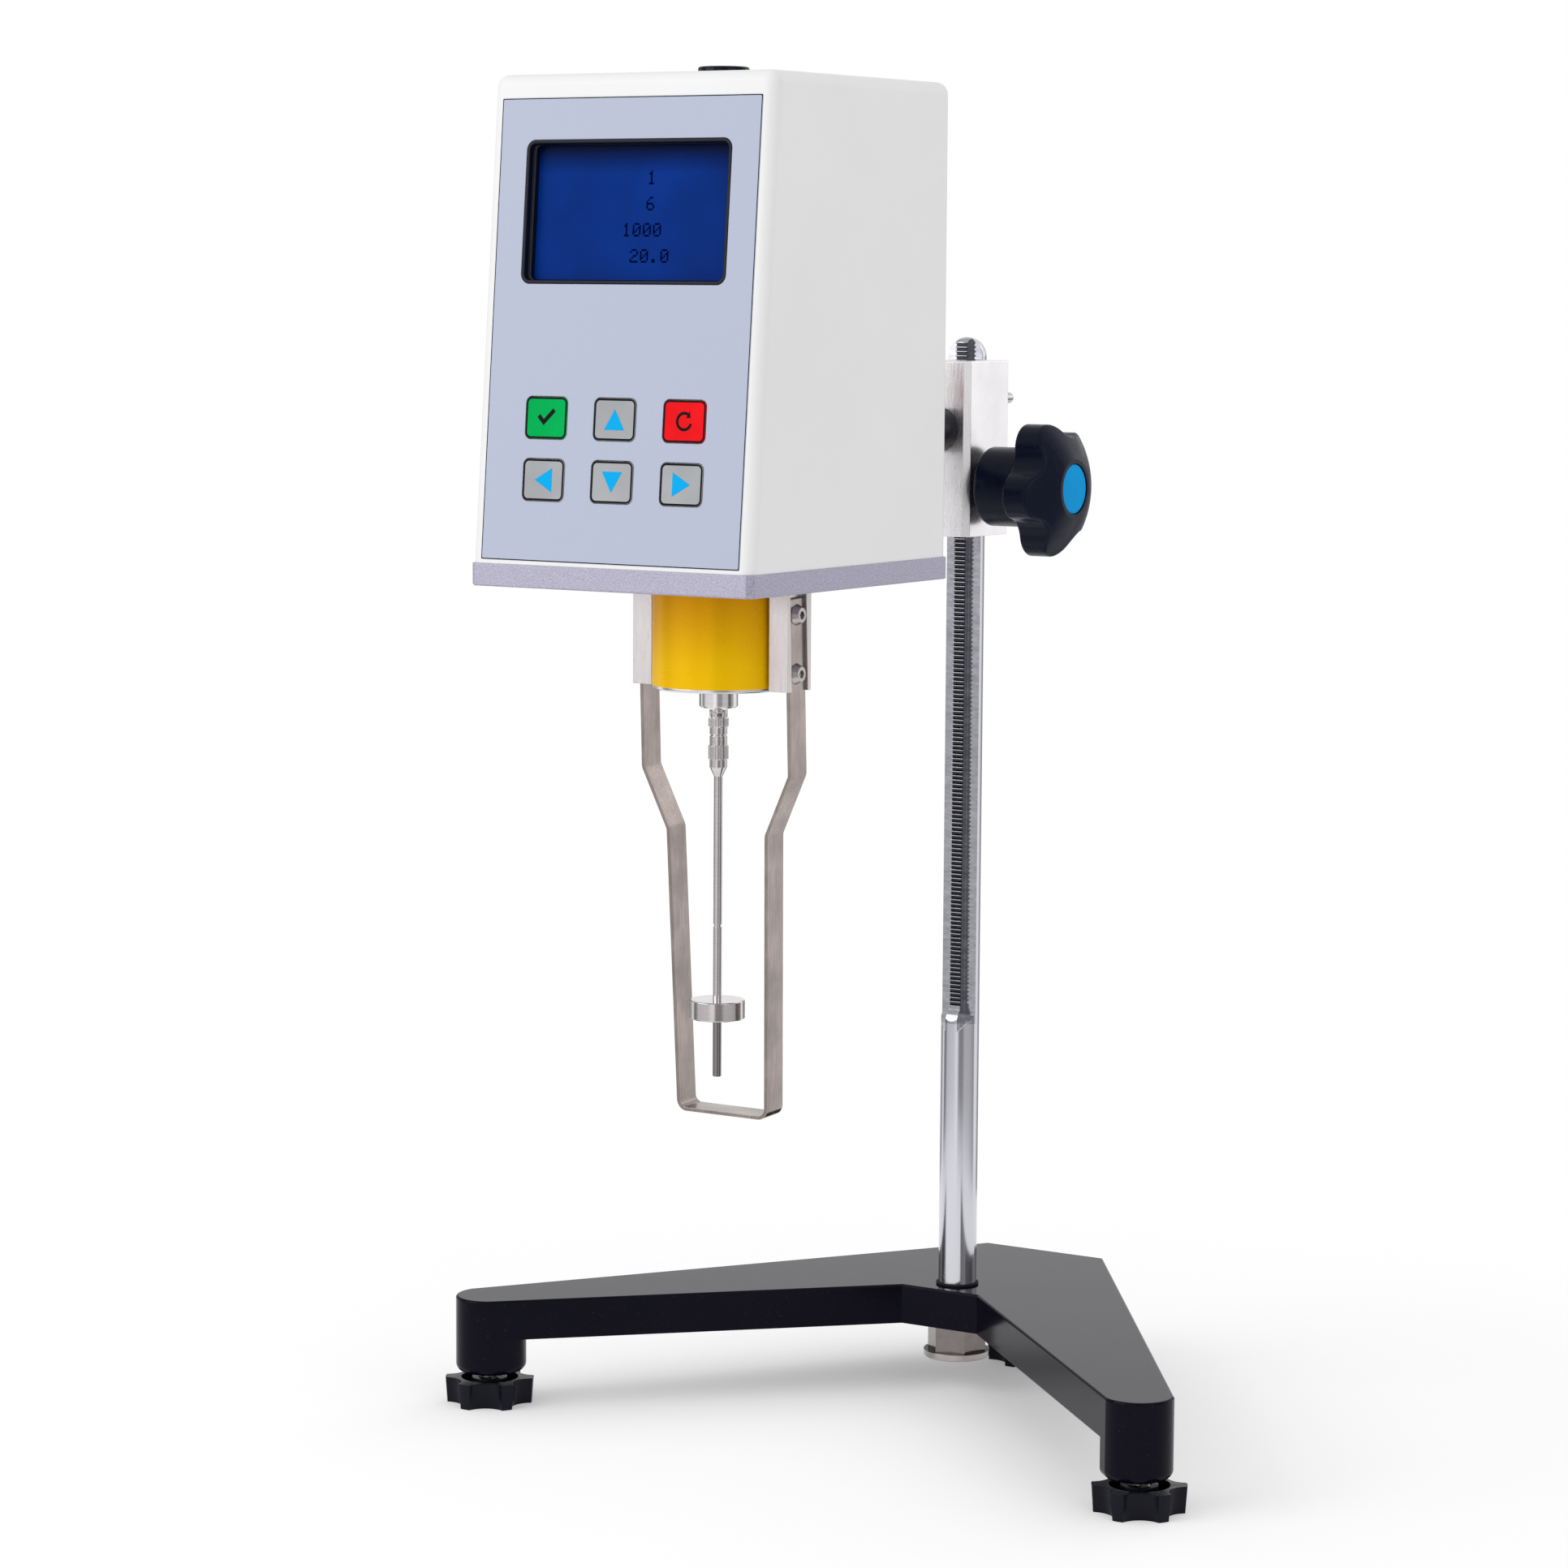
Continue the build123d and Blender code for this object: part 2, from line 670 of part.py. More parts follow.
# A screw through the block's rear wall drags on the column, so the head stays where it is put.
tension_tip_y = column_y + column_r + running
with BuildPart() as tension_screw:
    with BuildSketch(Plane.XZ.offset(-tension_tip_y)):
        with Locations((0, tension_z)):
            Circle(tension_r)
    extrude(amount=-(block_rear + tension_out - column_r - running))
    tip = tension_screw.faces().sort_by(Axis.Y)[-1]
    chamfer(tip.edges(), length=0.3)
    with BuildSketch(Plane.XZ.offset(-(column_y + block_rear + tension_out))):
        with Locations((0, tension_z)):
            Rectangle(2 * tension_r + 1, 0.8)
    extrude(amount=1.2, mode=Mode.SUBTRACT)
tension_screw.part.label = "tension_screw"
export_step(tension_screw.part, "parts/tension_screw.step")

with BuildPart() as tension_nut:
    with BuildSketch(Plane.XZ.offset(-(column_y + block_rear))):
        with Locations((0, tension_z)):
            RegularPolygon(3.5, 6, major_radius=False)
            Circle(tension_r + seat_play, mode=Mode.SUBTRACT)
    extrude(amount=-3.2)
tension_nut.part.label = "tension_nut"
export_step(tension_nut.part, "parts/tension_nut.step")

with BuildPart() as rod_grub_screw:
    with BuildSketch(Plane.YZ.offset(-block_half + 0.4)):
        with Locations((rod_end_y - rod_in_block / 2, rod_z)):
            Circle(grub_r)
    extrude(amount=block_half - 0.4 - rod_r)
    with BuildSketch(Plane.YZ.offset(-block_half + 0.4)):
        with Locations((rod_end_y - rod_in_block / 2, rod_z)):
            RegularPolygon(1.25, 6, major_radius=False)
    extrude(amount=1.8, mode=Mode.SUBTRACT)
rod_grub_screw.part.label = "rod_grub_screw"
export_step(rod_grub_screw.part, "parts/rod_grub_screw.step")

# ================================================================ head: rod, bracket and plate
bracket_rear_y = cover_rear_y - cover_wall - free_gap
bracket_long = 26.0
bracket_front_y = bracket_rear_y - bracket_long
with BuildPart() as support_rod:
    with BuildSketch(Plane.XZ.offset(-rod_end_y)):
        with Locations((0, rod_z)):
            Circle(rod_r)
    extrude(amount=rod_end_y - bracket_front_y - 2)
    chamfer(support_rod.edges().group_by(Axis.Y)[0], length=0.8)
support_rod.part.label = "support_rod"
export_step(support_rod.part, "parts/support_rod.step")

# Cast bracket: a foot on the plate, two side ribs and a socket that holds the rod.
socket_r = rod_r + 2.8
foot_thick = 5.0
with BuildPart() as rod_bracket:
    with BuildSketch(Plane.XY.offset(plate_top)):
        with Locations((0, (bracket_rear_y + bracket_front_y) / 2)):
            RectangleRounded(64, bracket_long, 4)
    extrude(amount=foot_thick)
    with BuildSketch(Plane.XZ.offset(-bracket_rear_y)):
        with Locations((0, rod_z)):
            Circle(socket_r)
    extrude(amount=bracket_long)
    with BuildSketch(Plane.XZ.offset(-bracket_rear_y)):
        with BuildLine():
            Polyline(
                (-socket_r, plate_top + foot_thick),
                (socket_r, plate_top + foot_thick),
                (socket_r * 0.9, rod_z),
                (-socket_r * 0.9, rod_z),
                close=True,
            )
        make_face()
    extrude(amount=6)
    with BuildSketch(Plane.XZ.offset(-(bracket_rear_y - 6))):
        with Locations((0, (plate_top + foot_thick + rod_z) / 2)):
            Rectangle(9, rod_z - plate_top - foot_thick)
    extrude(amount=bracket_long - 8)
    with BuildSketch(Plane.XZ.offset(-bracket_rear_y)):
        with Locations((0, rod_z)):
            Circle(rod_r + seat_play)
    extrude(amount=bracket_long, mode=Mode.SUBTRACT)
rod_bracket.part.label = "rod_bracket"
export_step(rod_bracket.part, "parts/rod_bracket.step")

post_places = [
    (x_sign * (cover_half - cover_wall - screw_post_r - post_gap), y)
    for x_sign in (-1, 1)
    for y in (cover_front_y + cover_wall + 20, cover_rear_y - cover_wall - screw_post_r - post_gap)
]
plate_mid_y = spindle_y + (plate_rear - plate_front) / 2
with BuildPart() as base_plate:
    with BuildSketch(Plane.XY.offset(plate_bottom)):
        with Locations((0, plate_mid_y)):
            Rectangle(2 * plate_half, plate_front + plate_rear)
        chamfer(vertices(), length=plate_corner)
    extrude(amount=plate_thick)
    chamfer(base_plate.faces().sort_by(Axis.Z)[0].edges(), length=0.4)
    with Locations((0, spindle_y, plate_bottom)):
        Hole(radius=housing_r - housing_wall - 4, depth=2 * plate_thick)
    with Locations(Location((0, 0, plate_bottom), (180, 0, 0))):
        with Locations(*[(x, -y) for x, y in post_places]):
            CounterSinkHole(radius=cover_screw_r + 0.1, counter_sink_radius=3.0, depth=plate_thick)
base_plate.part.label = "base_plate"
export_step(base_plate.part, "parts/base_plate.step")


def cover_block(inset, floor_z, edge_r):
    """The cover's wedge shape, drawn in by an inset on every side but its open bottom."""
    lean = tan(radians(face_lean))
    front = cover_front_y + inset / cos(radians(face_lean))
    top = cover_top - inset
    with BuildPart(mode=Mode.PRIVATE) as block:
        with BuildSketch(Plane.YZ):
            with BuildLine():
                Polyline(
                    (front + lean * (floor_z - plate_top), floor_z),
                    (cover_rear_y - inset, floor_z),
                    (cover_rear_y - inset, top),
                    (front + lean * (top - plate_top), top),
                    close=True,
                )
            make_face()
        extrude(amount=cover_half - inset, both=True)
        rounded = block.edges().filter_by(lambda e: e.center().Z > floor_z + 1)
        fillet(rounded, radius=edge_r)
    return block.part


outer_shape = cover_block(0, plate_top, cover_edge_r)
inner_shape = cover_block(cover_wall, plate_top, cover_edge_r - cover_wall)

key_places = {
    "ok": (-key_pitch_x, key_rise + key_pitch_y),
    "up": (0, key_rise + key_pitch_y),
    "reset": (key_pitch_x, key_rise + key_pitch_y),
    "left": (-key_pitch_x, key_rise),
    "down": (0, key_rise),
    "right": (key_pitch_x, key_rise),
}
panel_mid = panel_rise + panel_tall / 2
panel_seat = panel_thick - panel_proud
key_pocket = key_thick - key_proud + key_travel + free_gap
level_place = (0, spindle_y + level_y)
inlet_z = plate_top + inlet_rise
board_tall = panel_tall - 2 * board_margin
standoff_x = board_wide / 2 - standoff_inset + 0.7
standoff_v = board_tall / 2 - standoff_inset
standoff_places = [
    (x_sign * standoff_x, panel_mid + v_sign * standoff_v) for x_sign in (-1, 1) for v_sign in (-1, 1)
]
rib_long = screw_post_r + post_gap + cover_wall / 2

with BuildPart() as housing_cover:
    add(outer_shape)
    add(inner_shape, mode=Mode.SUBTRACT)
    with BuildSketch(Plane.XY.offset(plate_top)):
        with Locations(*post_places):
            Circle(screw_post_r)
        for x, y in post_places:
            with Locations((x + copysign(rib_long / 2, x), y)):
                Rectangle(rib_long, rib_thick)
    extrude(amount=screw_post_tall)
    with BuildSketch(face.offset(-cover_wall)):
        with Locations(*standoff_places):
            Circle(standoff_r)
    extrude(amount=-(board_deep - cover_wall))
    with BuildSketch(face):
        with Locations((0, panel_mid)):
            RectangleRounded(panel_wide + 2 * seat_play, panel_tall + 2 * seat_play, 1.5)
    extrude(amount=-panel_seat, mode=Mode.SUBTRACT)
    with BuildSketch(face):
        with Locations((0, bezel_rise)):
            RectangleRounded(bezel_wide + 2 * seat_play, bezel_tall + 2 * seat_play, bezel_corner)
    extrude(amount=-2 * cover_wall, mode=Mode.SUBTRACT)
    with BuildSketch(face):
        with Locations(*key_places.values()):
            RectangleRounded(key_wide + 2 * free_gap, key_tall + 2 * free_gap, key_corner + free_gap)
    extrude(amount=-key_pocket, mode=Mode.SUBTRACT)
    with BuildSketch(face):
        with Locations(*key_places.values()):
            Circle(key_stem_r + free_gap)
    extrude(amount=-2 * cover_wall, mode=Mode.SUBTRACT)
    with BuildSketch(Plane.XY.offset(cover_top)):
        with Locations(level_place):
            Circle(level_r - 1.0 + seat_play)
    extrude(amount=-2 * cover_wall, mode=Mode.SUBTRACT)
    with BuildSketch(Plane.XZ.offset(-cover_rear_y)):
        with Locations((0, rod_z)):
            Circle(rod_r + free_gap)
        with Locations((inlet_x, inlet_z)):
            Rectangle(inlet_wide + 2 * seat_play, inlet_tall + 2 * seat_play)
        with Locations((probe_x, inlet_z)):
            Circle(probe_r + seat_play)
    extrude(amount=2 * cover_wall, mode=Mode.SUBTRACT)
    with BuildSketch(Plane.XY.offset(plate_top)):
        with Locations(*post_places):
            Circle(cover_screw_r + seat_play)
    extrude(amount=11, mode=Mode.SUBTRACT)
housing_cover.part.label = "housing_cover"
export_step(housing_cover.part, "parts/housing_cover.step")

with BuildPart() as cover_screws:
    for x, y in post_places:
        with BuildSketch(Plane.XY.offset(plate_bottom)):
            with Locations((x, y)):
                Circle(cover_screw_r)
        extrude(amount=plate_thick + 9)
        with BuildSketch(Plane.XY.offset(plate_bottom)):
            with Locations((x, y)):
                Circle(2.9)
        extrude(amount=1.3, taper=44)
        with BuildSketch(Plane.XY.offset(plate_bottom)):
            with Locations((x, y)):
                Rectangle(3.2, 0.7)
                Rectangle(0.7, 3.2)
        extrude(amount=1.0, mode=Mode.SUBTRACT)
cover_screws.part.label = "cover_screws"
export_step(cover_screws.part, "parts/cover_screws.step")

# ================================================================ head: panel, display and keys
panel_back = face.offset(-panel_seat)
with BuildPart() as front_panel:
    with BuildSketch(panel_back):
        with Locations((0, panel_mid)):
            RectangleRounded(panel_wide, panel_tall, 1.5)
        with Locations((0, bezel_rise)):
            RectangleRounded(
                bezel_wide + 2 * seat_play,
                bezel_tall + 2 * seat_play,
                bezel_corner,
                mode=Mode.SUBTRACT,
            )
        with Locations(*key_places.values()):
            RectangleRounded(
                key_wide + 2 * free_gap, key_tall + 2 * free_gap, key_corner + free_gap, mode=Mode.SUBTRACT
            )
    extrude(amount=panel_thick)
front_panel.part.label = "front_panel"
export_step(front_panel.part, "parts/front_panel.step")

# A stepped frame around the display; its window is narrower at the back.
with BuildPart() as display_bezel:
    with BuildSketch(face.offset(panel_proud + 0.1)):
        with Locations((0, bezel_rise)):
            RectangleRounded(bezel_wide, bezel_tall, bezel_corner)
    extrude(amount=-(bezel_deep + panel_proud + 0.1))
    with BuildSketch(face.offset(panel_proud + 0.1)):
        with Locations((0, bezel_rise)):
            RectangleRounded(bezel_wide - 2 * bezel_lip, bezel_tall - 2 * bezel_lip, bezel_corner - bezel_lip)
    extrude(amount=-(bezel_deep / 2 + panel_proud), mode=Mode.SUBTRACT)
    with BuildSketch(face):
        with Locations((0, bezel_rise)):
            RectangleRounded(
                bezel_wide - 2 * bezel_lip - 2 * bezel_step, bezel_tall - 2 * bezel_lip - 2 * bezel_step, 0.8
            )
    extrude(amount=-bezel_deep - 1, mode=Mode.SUBTRACT)
display_bezel.part.label = "display_bezel"
export_step(display_bezel.part, "parts/display_bezel.step")

with BuildPart() as lcd_module:
    with BuildSketch(face.offset(-bezel_deep)):
        with Locations((0, bezel_rise)):
            Rectangle(bezel_wide - 3.2, bezel_tall - 3.2)
    extrude(amount=-(board_deep - bezel_deep))
    with BuildSketch(face.offset(-board_deep)):
        with Locations((0, bezel_rise)):
            Rectangle(bezel_wide, bezel_tall + 6)
    extrude(amount=2.0)
lcd_module.part.label = "lcd_module"
export_step(lcd_module.part, "parts/lcd_module.step")

# One board carries the display, six key switches and the control electronics.
with BuildPart() as main_board:
    with BuildSketch(face.offset(-board_deep)):
        with Locations((0, panel_mid)):
            Rectangle(board_wide, board_tall)
        with Locations(*standoff_places):
            Circle(1.25, mode=Mode.SUBTRACT)
    extrude(amount=-board_thick)
    with BuildSketch(face.offset(-board_deep)):
        with Locations(*key_places.values()):
            Rectangle(switch_side, switch_side)
    extrude(amount=switch_body)
    with BuildSketch(face.offset(-board_deep)):
        with Locations(*key_places.values()):
            Circle(switch_side * 0.28)
    extrude(amount=switch_tall)
    with BuildSketch(face.offset(-board_deep - board_thick)):
        with Locations((0, key_rise + key_pitch_y + 7), (0, bezel_rise - bezel_tall / 2 + 5)):
            Rectangle(chip_side, chip_side)
        with Locations((-key_pitch_x, key_rise), (key_pitch_x, key_rise)):
            Rectangle(plug_wide, plug_tall)
    extrude(amount=-board_thick)
main_board.part.label = "main_board"
export_step(main_board.part, "parts/main_board.step")

stem_long = board_deep - switch_tall - key_travel - running - (key_thick - key_proud)
for name, place in key_places.items():
    with BuildPart() as key:
        with BuildSketch(face.offset(key_proud)):
            with Locations(place):
                RectangleRounded(key_wide, key_tall, key_corner)
        extrude(amount=-key_thick)
        fillet(key.faces().sort_by(Axis.Y)[0].edges(), radius=0.25)
        with BuildSketch(face.offset(key_proud - key_thick)):
            with Locations(place):
                Circle(key_stem_r)
        extrude(amount=-stem_long)
    key.part.label = f"key_{name}"
    export_step(key.part, f"parts/key_{name}.step")

# ================================================================ head: top and rear fittings
with BuildPart() as level_bezel:
    with BuildSketch(Plane.XY.offset(cover_top)):
        with Locations(level_place):
            Circle(level_r)
    extrude(amount=level_top - cover_top)
    fillet(level_bezel.edges().group_by(Axis.Z)[-1], radius=0.8)
    with BuildSketch(Plane.XY.offset(cover_top)):
        with Locations(level_place):
            Circle(level_r - 1.0)
    extrude(amount=-cover_wall)
    with BuildSketch(Plane.XY.offset(level_top)):
        with Locations(level_place):
            Circle(level_r - 2.2 + seat_play)
    extrude(amount=-(level_top - cover_top + 1.0), mode=Mode.SUBTRACT)
level_bezel.part.label = "level_bezel"
export_step(level_bezel.part, "parts/level_bezel.step")

with BuildPart() as level_vial:
    with BuildSketch(Plane.XY.offset(cover_top - 1.0)):
        with Locations(level_place):
            Circle(level_r - 2.2)
    extrude(amount=level_top - cover_top + 0.6)
    fillet(level_vial.edges().group_by(Axis.Z)[-1], radius=0.4)
level_vial.part.label = "level_vial"
export_step(level_vial.part, "parts/level_vial.step")

# Power inlet and switch share one moulded frame in the rear wall.
rear = Plane(origin=(0, cover_rear_y, 0), x_dir=(-1, 0, 0), z_dir=(0, 1, 0))
socket_v = inlet_z - socket_drop
switch_v = inlet_z + switch_lift
with BuildPart() as power_inlet:
    with BuildSketch(rear.offset(-cover_wall)):
        with Locations((-inlet_x, inlet_z)):
            Rectangle(inlet_wide, inlet_tall)
    extrude(amount=cover_wall)
    with BuildSketch(rear):
        with Locations((-inlet_x, inlet_z)):
            RectangleRounded(inlet_wide + 4, inlet_tall + 4, 2)
    extrude(amount=inlet_rim)
    with BuildSketch(rear.offset(-inlet_deep)):
        with Locations((-inlet_x, inlet_z)):
            Rectangle(inlet_wide - 1, inlet_tall - 1)
    extrude(amount=inlet_deep - cover_wall)
    with BuildSketch(rear.offset(inlet_rim)):
        with Locations((-inlet_x, socket_v)):
            Rectangle(socket_wide, socket_tall)
            chamfer(vertices().group_by(Axis.Y)[-1], length=3.0)
    extrude(amount=-(socket_deep + inlet_rim), mode=Mode.SUBTRACT)
    with BuildSketch(rear.offset(inlet_rim)):
        with Locations((-inlet_x, switch_v)):
            Rectangle(rocker_wide + 1.0, 12.6)
    extrude(amount=-9, mode=Mode.SUBTRACT)
    with BuildSketch(rear.offset(-socket_deep)):
        for x, z in ((0, 2.4), (-5.5, -2.0), (5.5, -2.0)):
            with Locations((-inlet_x + x, socket_v + z)):
                Rectangle(pin_wide, pin_tall)
    extrude(amount=pin_long)
power_inlet.part.label = "power_inlet"
export_step(power_inlet.part, "parts/power_inlet.step")

rocker_y = cover_rear_y - 1.0
with BuildPart() as power_rocker:
    with BuildSketch(Plane.YZ.offset(inlet_x)):
        with BuildLine():
            Polyline(
                (rocker_y - 4.6, switch_v - 3.2),
                (rocker_y - 4.6, switch_v + 3.2),
                (rocker_y + 1.3, switch_v + 5.5),
                (rocker_y + 2.0 + 5.3 * tan(radians(rocker_tilt)), switch_v + 5.3),
                (rocker_y + 2.0, switch_v),
                (rocker_y + 2.0 + 5.3 * tan(radians(rocker_tilt)), switch_v - 5.3),
                (rocker_y + 1.3, switch_v - 5.5),
                close=True,
            )
        make_face()
    extrude(amount=rocker_wide / 2, both=True)
    with BuildSketch(Plane.YZ.offset(inlet_x)):
        with Locations((rocker_y - 2.4, switch_v)):
            Circle(1.2)
    extrude(amount=rocker_wide / 2 + 0.45, both=True)
power_rocker.part.label = "power_rocker"
export_step(power_rocker.part, "parts/power_rocker.step")

with BuildPart() as probe_socket:
    with BuildSketch(rear.offset(-10)):
        with Locations((-probe_x, inlet_z)):
            Circle(probe_r)
    extrude(amount=10)
    with BuildSketch(rear):
        with Locations((-probe_x, inlet_z)):
            Circle(probe_r + 1.8)
    extrude(amount=2.2)
    with BuildSketch(rear.offset(2.2)):
        with Locations((-probe_x, inlet_z)):
            Circle(probe_r - 1.4)
    extrude(amount=-9, mode=Mode.SUBTRACT)
    with BuildSketch(rear.offset(-6.8)):
        with Locations((-probe_x, inlet_z)):
            with PolarLocations(3.0, 4, start_angle=45):
                Circle(0.5)
    extrude(amount=4.5)
probe_socket.part.label = "probe_socket"
export_step(probe_socket.part, "parts/probe_socket.step")

# ================================================================ drive and torque mechanism
post_xy = [
    (x_sign * bridge_post_x, spindle_y + y_sign * bridge_post_y) for x_sign in (-1, 1) for y_sign in (-1, 1)
]
motor_y = spindle_y + gear_distance
gear_bottom = bridge_top + 6.0

with BuildPart() as bridge_posts:
    for x, y in post_xy:
        with BuildSketch(Plane.XY.offset(plate_top)):
            with Locations((x, y)):
                RegularPolygon(bridge_post_r, 6, major_radius=False)
        extrude(amount=bridge_rise)
bridge_posts.part.label = "bridge_posts"
export_step(bridge_posts.part, "parts/bridge_posts.step")

with BuildPart() as motor_bridge:
    with BuildSketch(Plane.XY.offset(bridge_bottom)):
        with Locations((0, spindle_y + 8)):
            RectangleRounded(bridge_wide, bridge_long, 6)
        with Locations((0, spindle_y)):
            Circle(bearing_r, mode=Mode.SUBTRACT)
        with Locations((0, motor_y)):
            Circle(motor_shaft_r + 2.0, mode=Mode.SUBTRACT)
    extrude(amount=bridge_thick)
    for x, y in post_xy:
        with BuildSketch(Plane.XY.offset(bridge_top)):
            with Locations((x, y)):
                Circle(2.75)
        extrude(amount=1.8)
motor_bridge.part.label = "motor_bridge"
export_step(motor_bridge.part, "parts/motor_bridge.step")

with BuildPart() as drive_bearing:
    with BuildSketch(Plane.XY.offset(bridge_bottom)):
        with Locations((0, spindle_y)):
            Circle(bearing_r - seat_play)
            Circle(drive_tube_r + running, mode=Mode.SUBTRACT)
    extrude(amount=bridge_thick)
    with BuildSketch(Plane.XY.offset(bridge_bottom)):
        with Locations((0, spindle_y)):
            Circle(bearing_r + 2.0)
            Circle(drive_tube_r + running, mode=Mode.SUBTRACT)
    extrude(amount=-2.0)
drive_bearing.part.label = "drive_bearing"
export_step(drive_bearing.part, "parts/drive_bearing.step")

with BuildPart() as drive_motor:
    with BuildSketch(Plane.XY.offset(bridge_bottom)):
        with Locations((0, motor_y)):
            Rectangle(motor_side, motor_side)
        chamfer(vertices(), length=3)
    extrude(amount=-motor_tall)
    with BuildSketch(Plane.XY.offset(bridge_bottom)):
        with Locations((0, motor_y)):
            Circle(motor_shaft_r + running)
    extrude(amount=-motor_tall * 0.7, mode=Mode.SUBTRACT)
drive_motor.part.label = "drive_motor"
export_step(drive_motor.part, "parts/drive_motor.step")

motor_outline = gear_outline(gear_module, motor_teeth, backlash, turn=-90 + 180 / motor_teeth)
with BuildPart() as motor_pinion:
    with BuildSketch(Plane.XY.offset(gear_bottom)):
        with Locations((0, motor_y)):
            add(motor_outline)
    extrude(amount=gear_thick)
    with BuildSketch(Plane.XY.offset(bridge_top + 1.5)):
        with Locations((0, motor_y)):
            Circle(5.0)
    extrude(amount=gear_bottom - bridge_top - 1.5)
    with BuildSketch(Plane.XY.offset(bridge_bottom - motor_tall * 0.6)):
        with Locations((0, motor_y)):
            Circle(motor_shaft_r)
    extrude(amount=gear_bottom + gear_thick + 1.5 - bridge_bottom + motor_tall * 0.6)
motor_pinion.part.label = "motor_pinion"
export_step(motor_pinion.part, "parts/motor_pinion.step")

drive_outline = gear_outline(gear_module, drive_teeth, backlash, turn=90)
with BuildPart() as drive_gear:
    with BuildSketch(Plane.XY.offset(gear_bottom)):
        with Locations((0, spindle_y)):
            add(drive_outline)
            Circle(drive_tube_r + seat_play, mode=Mode.SUBTRACT)
            with PolarLocations(14.0, 5):
                Circle(4.5, mode=Mode.SUBTRACT)
    extrude(amount=gear_thick)
    with BuildSketch(Plane.XY.offset(bridge_top + free_gap)):
        with Locations((0, spindle_y)):
            Circle(7.0)
            Circle(drive_tube_r + seat_play, mode=Mode.SUBTRACT)
    extrude(amount=gear_bottom - bridge_top - free_gap)
drive_gear.part.label = "drive_gear"
export_step(drive_gear.part, "parts/drive_gear.step")

upper_disc_z = plate_top + upper_disc_rise
lower_disc_z = plate_top + lower_disc_rise
spring_z = plate_top + spring_rise
with BuildPart() as drive_tube:
    with BuildSketch(Plane.XY.offset(upper_disc_z)):
        with Locations((0, spindle_y)):
            Circle(drive_tube_r)
            Circle(pivot_r + running, mode=Mode.SUBTRACT)
    extrude(amount=gear_bottom + gear_thick + 2 - upper_disc_z)
drive_tube.part.label = "drive_tube"
export_step(drive_tube.part, "parts/drive_tube.step")


def slotted_disc(disc_z, bore_r):
    """An encoder disc: a thin plate with a ring of radial slots and a bore for its shaft."""
    with BuildPart(mode=Mode.PRIVATE) as disc:
        with BuildSketch(Plane.XY.offset(disc_z)):
            with Locations((0, spindle_y)):
                Circle(disc_r)
                Circle(bore_r, mode=Mode.SUBTRACT)
                with PolarLocations(disc_r - 3.5, disc_slots):
                    Rectangle(3.6, 1.6, mode=Mode.SUBTRACT)
        extrude(amount=disc_thick)
    return disc.part


spring_inner_r = collet_r + free_gap + spring_strip / 2
spring_outer_r = spring_inner_r + spring_turns * (spring_strip + spring_air)
loose_disc = slotted_disc(upper_disc_z - disc_thick, pivot_r + free_gap)
with BuildPart() as upper_disc:
    add(loose_disc)
    with BuildSketch(Plane.XY.offset(upper_disc_z - disc_thick)):
        with Locations((spring_outer_r + spring_strip / 2 + spring_post_r, spindle_y)):
            Circle(spring_post_r)
    extrude(amount=spring_z - upper_disc_z + disc_thick)
upper_disc.part.label = "upper_disc"
export_step(upper_disc.part, "parts/upper_disc.step")

half_turns = round(2 * spring_turns)


def coil_point(count, side):
    """Where one side of the hairspring's strip crosses the X axis after a count of half turns."""
    radius = spring_inner_r + count * (spring_strip + spring_air) / 2 + side * spring_strip / 2
    return radius if count % 2 == 0 else -radius


# The hairspring: half turns about two centres, from the pivot's collet out to the post.
with BuildPart() as torsion_spring:
    with BuildSketch(Plane(origin=(0, spindle_y, spring_z))):
        with BuildLine():
            for side in (-1, 1):
                for count in range(half_turns):
                    start = coil_point(count, side)
                    end = coil_point(count + 1, side)
                    rise = (start - end) / 2
                    ThreePointArc((start, 0), ((start + end) / 2, rise), (end, 0))
            Line((coil_point(0, -1), 0), (coil_point(0, 1), 0))
            Line((coil_point(half_turns, -1), 0), (coil_point(half_turns, 1), 0))
        make_face()
    extrude(amount=spring_wide)
torsion_spring.part.label = "torsion_spring"
export_step(torsion_spring.part, "parts/torsion_spring.step")

# The pivot shaft hangs in the drive tube's bore and ends in the upper fork of the universal joint.
fork_under = fork_top - fork_base
joint_z = fork_under - joint_gap / 2
prong_tall = joint_gap - free_gap
prong_inner = 1.5
prong_half = 1.2
with BuildPart() as pivot_shaft:
    with BuildSketch(Plane.XY.offset(fork_top)):
        with Locations((0, spindle_y)):
            Circle(pivot_r)
    extrude(amount=upper_disc_z + 24 - fork_top)
    with BuildSketch(Plane.XY.offset(spring_z - 1)):
        with Locations((0, spindle_y)):
            Circle(collet_r)
    extrude(amount=spring_wide + 2)
    with BuildSketch(Plane.XY.offset(fork_under)):
        with Locations((0, spindle_y)):
            Circle(fork_r)
    extrude(amount=fork_base)
    with BuildSketch(Plane.XY.offset(fork_under)):
        with Locations((0, spindle_y)):
            Circle(fork_r)
            Rectangle(2 * fork_r, 2 * prong_half, mode=Mode.INTERSECT)
            Rectangle(2 * prong_inner, 2 * fork_r, mode=Mode.SUBTRACT)
    extrude(amount=-prong_tall)
    with BuildSketch(Plane.YZ):
        with Locations((spindle_y, joint_z)):
            Circle(cross_pin_r + running)
    extrude(amount=fork_r, both=True, mode=Mode.SUBTRACT)
pivot_shaft.part.label = "pivot_shaft"
export_step(pivot_shaft.part, "parts/pivot_shaft.step")

